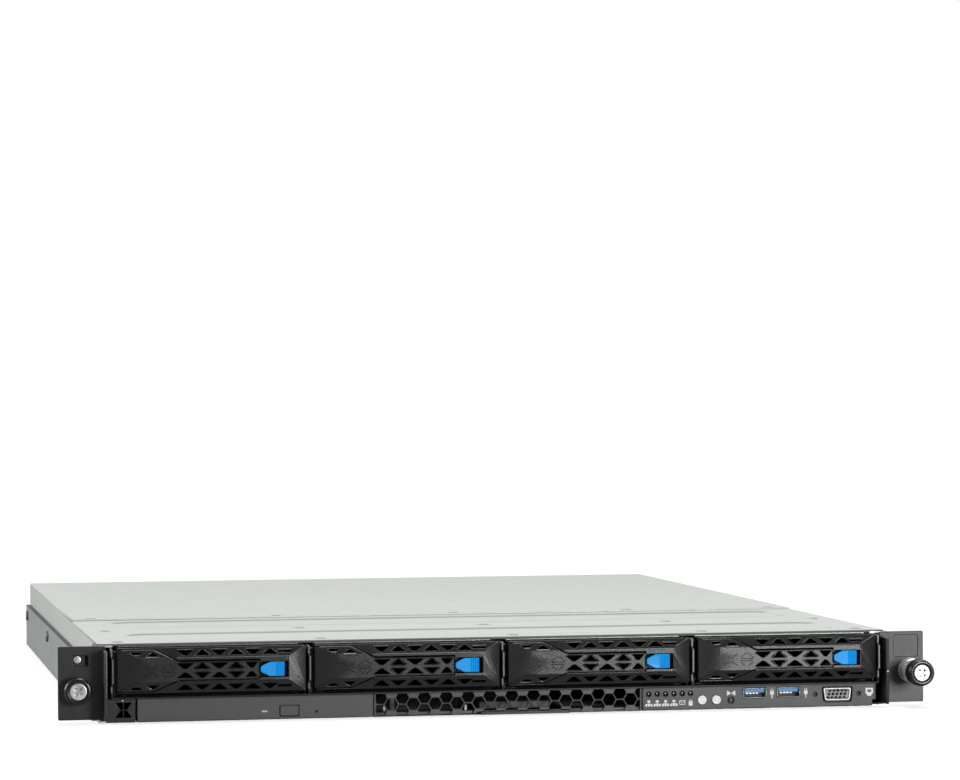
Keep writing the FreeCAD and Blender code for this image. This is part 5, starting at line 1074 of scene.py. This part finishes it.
shell_steel = plated("socket_shell", (0.60, 0.60, 0.58), 0.28, 0.85)
tongue_blue = moulded("contact_tongue", (0.004, 0.2, 0.5), 0.35, 0.5, 0.05, 0.0004, 0.03)
dark_insert = moulded("socket_insert", (0.008, 0.009, 0.014), 0.45, 0.3, 0.1)
tinned = plated("tinned_contact", (0.88, 0.88, 0.86), 0.3, 0.4)
shells = [tube_of(oblong(x - 6.6, x + 6.6, 6.1, 11.5, 0.7, 5), 0.3, -5.2, 12.0) for x in BUS]
tongues = [plate(oblong(x - 5.7, x + 5.7, 8.9, 11.05, 0.15, 3), [], edges(-4.2, 11.4, 0.2, 0)) for x in BUS]
contacts = [slab(oblong(x - 0.5, x + 0.5, 8.3, 8.95, 0.1, 2), -4.15, 8.0)
            for middle in BUS for x in middle - 4.2 + 1.9 * np.arange(4)]
inserts = [slab(oblong(x - 6.1, x + 6.1, 6.5, 11.1, 0.4, 3), -0.5, 11.4) for x in BUS]
build("bus_socket_shells", shells, shell_steel, "chassis", "socket_shell", "usb_ports")
build("bus_tongues", tongues, tongue_blue, "chassis", "latch_blue")
build("bus_contacts", contacts, tinned, "chassis", "socket_shell")
build("bus_inserts", inserts, dark_insert, "chassis", "bezel_black")


def dee(grow):
    """The video socket's D outline, grown or shrunk by a distance."""
    return rounded([(VIDEO - 7.3 - grow, 3.6 - grow), (VIDEO + 7.3 + grow, 3.6 - grow),
                    (VIDEO + 8.3 + grow, 11.0 + grow), (VIDEO - 8.3 - grow, 11.0 + grow)], 1.5, 6)


def fifteen(x, z, pitch, row_pitch, radius, count):
    """Three rows of five round pin holes, each row a quarter of the pitch further along."""
    return [disc(x + pitch * (k + row / 4), z + row_pitch * row, radius, count)
            for row in (-1, 0, 1) for k in range(-2, 3)]


pins = fifteen(VIDEO, VIDEO_Z, 2.29, 1.98, 0.78, 12)
nickel = plated("video_shell", (0.44, 0.43, 0.39), 0.34, 0.75)
insert_grey = moulded("video_insert", (0.33, 0.35, 0.35), 0.5, 0.3, 0.1, 0.0004, 0.04)
build("video_shell", [tube_of(dee(-0.15), 0.85, -5.6, 4.0, 0.2)], nickel, "chassis", "socket_shell",
      "vga_port")
build("video_insert", [plate(inset(dee(-0.15), 0.95), pins, edges(-4.9, -1.0, 0.2, 0))], insert_grey,
      "chassis",
      "panel_grey")
body = [slab(oblong(175.3, 205.3, 2.6, 12.0, 0.5), -3.2, -2.0, holes=[dee(0.05)]),
        slab(oblong(175.5, 205.1, 2.8, 11.8, 0.5), -0.9, 11.6)]
build("video_socket_body", body, dark_insert, "chassis", "bezel_black")
jack_post = [(1.25, -1.0), (1.25, 1.9), (1.45, 2.1), (2.1, 2.1), (2.3, 1.9), (2.3, -1.0)]
jacks = [ring_of(jack_post, (VIDEO + s * 12.5, -2.0, VIDEO_Z), turns=6) for s in (-1, 1)]
build("video_jack_posts", jacks, nickel, "chassis", "socket_shell")


# ---------------------------------------------------------------- boards
# Glass-fibre laminates with green solder mask over copper tracks: the drive backplane, the small board
# behind the control panel, and the main board with its memory slots, chips, capacitors and heatsink.
def laminate(name, colour):
    """Solder mask over tracks: straight bands along x and y, gated by cells so that they start and stop."""
    material, tree, main, where = finish(name, colour, 0.34, 0.0, 0.5)
    light = [min(1, c * 1.9 + 0.01) for c in colour]
    bands = shader(tree, "ShaderNodeTexBrick", {
        "Vector": where, "Scale": 55.0, "Mortar Size": 0.012, "Brick Width": 0.9, "Row Height": 0.09,
        "Color1": (*[c * 0.85 for c in colour], 1), "Color2": (*colour, 1), "Mortar": (*light, 1)})
    tree.links.new(bands.outputs["Color"], main.inputs["Base Color"])
    rough_skin(tree, main, noise(tree, where, 1800, 2), 0.2, 0.00004)
    return material


BOARD_TOP = 9.1
mask_green = laminate("green_solder_mask", (0.012, 0.095, 0.045))
dress(mask_green, "backplane_board", "io_board")
screw_holes = [disc(x, y, 1.9, 20) for x in (-208, 54) for y in (297, 440, 560)]
board = plate(oblong(-214, 60, 290, 598.8, 1.5), screw_holes,
              [(0.1, 7.5), (0, 7.6), (0, 9.0), (0.1, BOARD_TOP)], "xzy")
build("main_board_laminate", [board], mask_green, "chassis", "board_green", "motherboard")
holders = [plate(oblong(-105, -45, 400, 460, 2), [], [(0.2, BOARD_TOP), (0, 9.3), (0, 13.8), (0.3, 14.1)],
                 "xzy")]
for x in (*(-150 + 10 * np.arange(4)), *(-30 + 10 * np.arange(4))):
    holders.append(slab(oblong(x - 3, x + 3, 360, 500, 0.8), BOARD_TOP, 12.1, "xzy", (0, 0.3)))
    for y in (357, 496):
        latch_post = [(0, BOARD_TOP), (0, 16.0), (0.8, 18.0)]
        holders.append(plate(oblong(x - 2.4, x + 2.4, y, y + 7, 1.0), [], latch_post, "xzy"))
build("memory_slots", holders, dark_insert, "chassis", "bezel_black")
CHIPS = ((-180, 330, 9, 3), (-165, 330, 9, 3), (-150, 330, 9, 3), (-20, 520, 22, 2), (20, 520, 14, 2),
         (-190, 540, 18, 2.4), (-60, 530, 12, 1.8), (40, 330, 12, 4), (40, 350, 12, 4))
chips = [slab(oblong(x, x + side, y, y + side, 0.5), BOARD_TOP, BOARD_TOP + high, "xzy", (0, 0.3))
         for x, y, side, high in CHIPS]
build("board_chips", chips, dark_insert, "chassis", "bezel_black")
can = [(4.0, 0), (4.0, 0.8), (3.7, 1.0), (3.7, 7.4), (3.4, 7.9), (0.2, 7.9)]
cans = [turned(can, (x, y, BOARD_TOP), "z") for x in (-200, -188) for y in (480, 492, 504)]
build("board_capacitors", cans, nickel, "chassis", "heatsink_aluminium", smooth=40)
dress(laminate("module_solder_mask", (0.010, 0.075, 0.035)), "memory_modules")
dress(plated("extruded_aluminium", (0.66, 0.67, 0.68), 0.34, 0.9), "cpu_heatsink")


# ---------------------------------------------------------------- rear sockets
# Sockets along the main board's rear edge, behind the rear sheet's window: serial bus stacks, network
# sockets with bright contacts, and two wide shells for video and serial plugs.
def to_rear(shell):
    """A shell that opens to the front, mirrored to open to the back."""
    points, faces = shell
    return points * (1, -1, 1), faces


BUS_STACK, NETWORK, WIDE = 13, 16, 31
rear_shells, rear_inserts, rear_tongues, rear_contacts, rear_screws = [], [], [], [], []
rear_post = [(1.1, 0.0), (1.1, 1.8), (2.2, 1.8), (2.4, 1.6), (2.4, 0.0)]
for x, wide, high in ((-138, BUS_STACK, 13), (-114, NETWORK, 13), (-94, NETWORK, 13), (-66, WIDE, 12),
                      (-30, NETWORK, 13), (-4, WIDE, 9), (30, BUS_STACK, 13)):
    z0, z1 = BOARD_TOP, BOARD_TOP + high
    if wide == WIDE:
        zm, reach = z0 + high / 2, 8.2
        outline = rounded([(x - reach + 0.6, zm - 3.9), (x + reach - 0.6, zm - 3.9),
                           (x + reach + 0.6, zm + 3.9),
                           (x - reach - 0.6, zm + 3.9)], 1.5, 6)
        flange = slab(oblong(x - 15.5, x + 15.5, z0 + 0.2, z1, 0.6), 598.2, 599.0, soft=(0, 0.1),
                      holes=[outline])
        rear_shells += [to_rear(tube_of(outline, 0.5, -600.9, -590.0)), flange]
        pins = fifteen(x, zm, 2.4, 2.0, 0.55, 8)
        rear_inserts += [slab(inset(outline, 0.7), 590.0, 600.2, soft=(0, 0.2), holes=pins),
                         slab(oblong(x - 15.0, x + 15.0, z0, z1 - 0.3, 0.6), 580.3, 590.0)]
        rear_screws += [ring_of(rear_post, (x + s * 12.3, 599.0, zm), "y", 6) for s in (-1, 1)]
        continue
    rear_shells.append(to_rear(tube_of(oblong(x - wide / 2, x + wide / 2, z0, z1, 0.6, 4), 0.5, -600.9,
                                       -580.3)))
    if wide == BUS_STACK:
        half = 6.0
        mouths = [oblong(x - 5.6, x + 5.6, z0 + low, z0 + top, 0.3, 3)
                  for low, top in ((1.0, 5.8), (7.0, 11.9))]
        rear_tongues += [slab(oblong(x - 4.6, x + 4.6, z0 + low, z0 + low + 1.7, 0.2, 3), 590.0, 599.6,
                              soft=(0, 0.2))
                         for low in (3.5, 9.5)]
    else:
        half = 7.4
        mouths = [rounded([(x - 6.0, z0 + 2.2), (x - 3.0, z0 + 2.2), (x - 3.0, z0 + 1.0),
                           (x + 3.0, z0 + 1.0),
                           (x + 3.0, z0 + 2.2), (x + 6.0, z0 + 2.2), (x + 6.0, z0 + 9.6),
                           (x - 6.0, z0 + 9.6)],
                          0.25, 3)]
        rear_contacts += [slab(oblong(cx - 0.22, cx + 0.22, z0 + 9.0, z0 + 9.4, 0.05, 2), 589.0, 598.6)
                          for cx in x - 3.6 + 1.02 * np.arange(8)]
    block = oblong(x - half, x + half, z0 + 0.5, z1 - 0.5, 0.3, 3)
    rear_inserts += [plate(block, mouths, [(0, 589.0), (0, 600.3), (0.15, 600.5)]),
                     slab(block, 585.0, 589.0)]
build("rear_socket_shells", rear_shells, shell_steel, "chassis", "socket_shell")
build("rear_socket_inserts", rear_inserts, dark_insert, "chassis", "bezel_black")
build("rear_tongues", rear_tongues, tongue_blue, "chassis", "latch_blue")
build("rear_contacts", rear_contacts, tinned, "chassis", "socket_shell")
build("rear_jack_posts", rear_screws, nickel, "chassis", "socket_shell")


# ---------------------------------------------------------------- fans
# Four 40 mm fans in a row: black moulded frames with the motor cup on three arms, and seven-bladed
# rotors.
fan_black = moulded("fan_moulding", (0.018, 0.018, 0.019), 0.4, 0.45, 0.3)
dress(fan_black, "fan_frames", *["fan_rotor_%d" % fan for fan in (1, 2, 3, 4)])


# ---------------------------------------------------------------- power supplies
# Two hot-swap supplies in plated steel cases. The rear sheet of each has a mains inlet, square vents, a
# bail handle and a green sprung release tab.
def swept_bar(path, outline):
    """A flat bar bent round a path in the y-z plane: the outline's first number is across the path in
    that plane and the second is along x, and each ring stands on the mitre of its two runs."""
    path = np.asarray(path, float)
    ahead = np.diff(path, axis=0)
    ahead /= np.linalg.norm(ahead, axis=1, keepdims=True)
    before, after = np.r_[ahead[:1], ahead], np.r_[ahead, ahead[-1:]]
    middle = before + after
    middle /= np.linalg.norm(middle, axis=1, keepdims=True)
    left = np.stack([-middle[:, 1], middle[:, 0]], 1) / (middle * after).sum(1, keepdims=True)
    rings = [np.c_[outline[:, 1], p + outline[:, :1] * n] for p, n in zip(path, left)]
    return carried(np.array(rings), outline)


CASE_WIDE, BLOCK_FRONT = 73.5, 580.3
BAIL_LOW, BAIL_HIGH, BAIL_BACK, BAIL_ROUND = 9.05, 32.55, 620.55, 4.0
supply_sheet = steel_sheet("supply_case_sheet", (0.58, 0.585, 0.57), 0.36, 0.007, 0.05, 0.8)
release_green = moulded("release_moulding", (0.02, 0.30, 0.09), 0.4, 0.5, 0.15, 0.0005, 0.05)
bend_y = BAIL_BACK - BAIL_ROUND
bail = np.r_[[(600.4, BAIL_LOW)], fold(bend_y, BAIL_LOW + BAIL_ROUND, BAIL_ROUND, -90, 90, 6),
             fold(bend_y, BAIL_HIGH - BAIL_ROUND, BAIL_ROUND, 0, 90, 6), [(600.4, BAIL_HIGH)]]
for unit, x0 in ((1, 67.0), (2, 141.7)):
    x1 = x0 + CASE_WIDE
    supply = "supply_%d" % unit
    case = oblong(x0, x1, 1.3, 40.3, 1.0)
    inlet_hole = rounded([(x0 + 6, 10.8), (x0 + 33, 10.8), (x0 + 33, 30.8), (x0 + 6, 30.8)],
                         [1.0, 1.0, 5.0, 5.0], 5)
    squares = [oblong(x1 - 34 + 6.2 * c, x1 - 29.4 + 6.2 * c, 6.3 + 7.6 * r, 12.3 + 7.6 * r, 0.5, 3)
               for r in range(4) for c in range(4)]
    tab_slot = oblong(x1 - 6.5, x1 - 1.5, 12.3, 28.3, 0.5)
    bodywork = [plate(case, [inlet_hole, tab_slot] + squares,
                      [(0, 595.0), (0, 600.4), (0.12, 600.7), (0.4, 600.8)]),
                slab(case, 584.0, 595.0, holes=[inlet_hole, oblong(x1 - 36, x1 - 9.5, 4, 38, 2), tab_slot]),
                slab(case, BLOCK_FRONT, 584.0, holes=[tab_slot]),
                slab(case, 415.8, BLOCK_FRONT, soft=(0.4, 0), holes=[oblong(x0 + 8, x1 - 8, 6, 36, 3)]),
                slab(oblong(x0 + 1, x1 - 1, 2.3, 39.3, 1.0), 470.0, 580.0)]
    build(supply + "_case", bodywork, supply_sheet, supply, "supply_case", "psu_%d" % unit)
    socket = rounded([(x0 + 8.5, 12.6), (x0 + 30.5, 12.6), (x0 + 30.5, 29.0), (x0 + 8.5, 29.0)],
                     [1.0, 1.0, 4.5, 4.5], 5)
    surround = [plate(inlet_hole, [socket], [(0.05, 585.5), (0.05, 599.6), (0.4, 600.0)]),
                slab(inset(inlet_hole, 0.05), 584.0, 585.5)]
    build(supply + "_inlet", surround, dark_insert, supply, "bezel_black")
    blades = [plate(oblong(x - 1, x + 1, z, z + 4, 0.4, 3), [], [(0, 585.3), (0, 593.6), (0.4, 594.3)])
              for x, z in ((x0 + 12.5, 15.8), (x0 + 26.5, 15.8), (x0 + 19.5, 20.8))]
    build(supply + "_contacts", blades, nickel, supply, "socket_shell")
    bail_section = oblong(-1.75, 1.75, x1 - 25.5, x1 - 22.5, 0.6, 4)
    build(supply + "_bail", [swept_bar(bail, bail_section)], fan_black, supply, "fan_black")
    start = x1 - 3.3
    pad = [(0.4, 609.3), (0, 609.8), (0, 613.8), (0.5, 614.3)]
    tab = [plate(oblong(start, start + 1.4, 12.6, 28.0, 0.5), [], [(0, 580.8), (0, 613.9), (0.3, 614.3)]),
           plate(oblong(start - 1.6, start + 1.4, 12.6, 28.0, 0.6), [], pad)]
    build("release_%d_moulding" % unit, tab, release_green, "release_%d" % unit, "release_green",
          "psu_latch_%d" % unit)
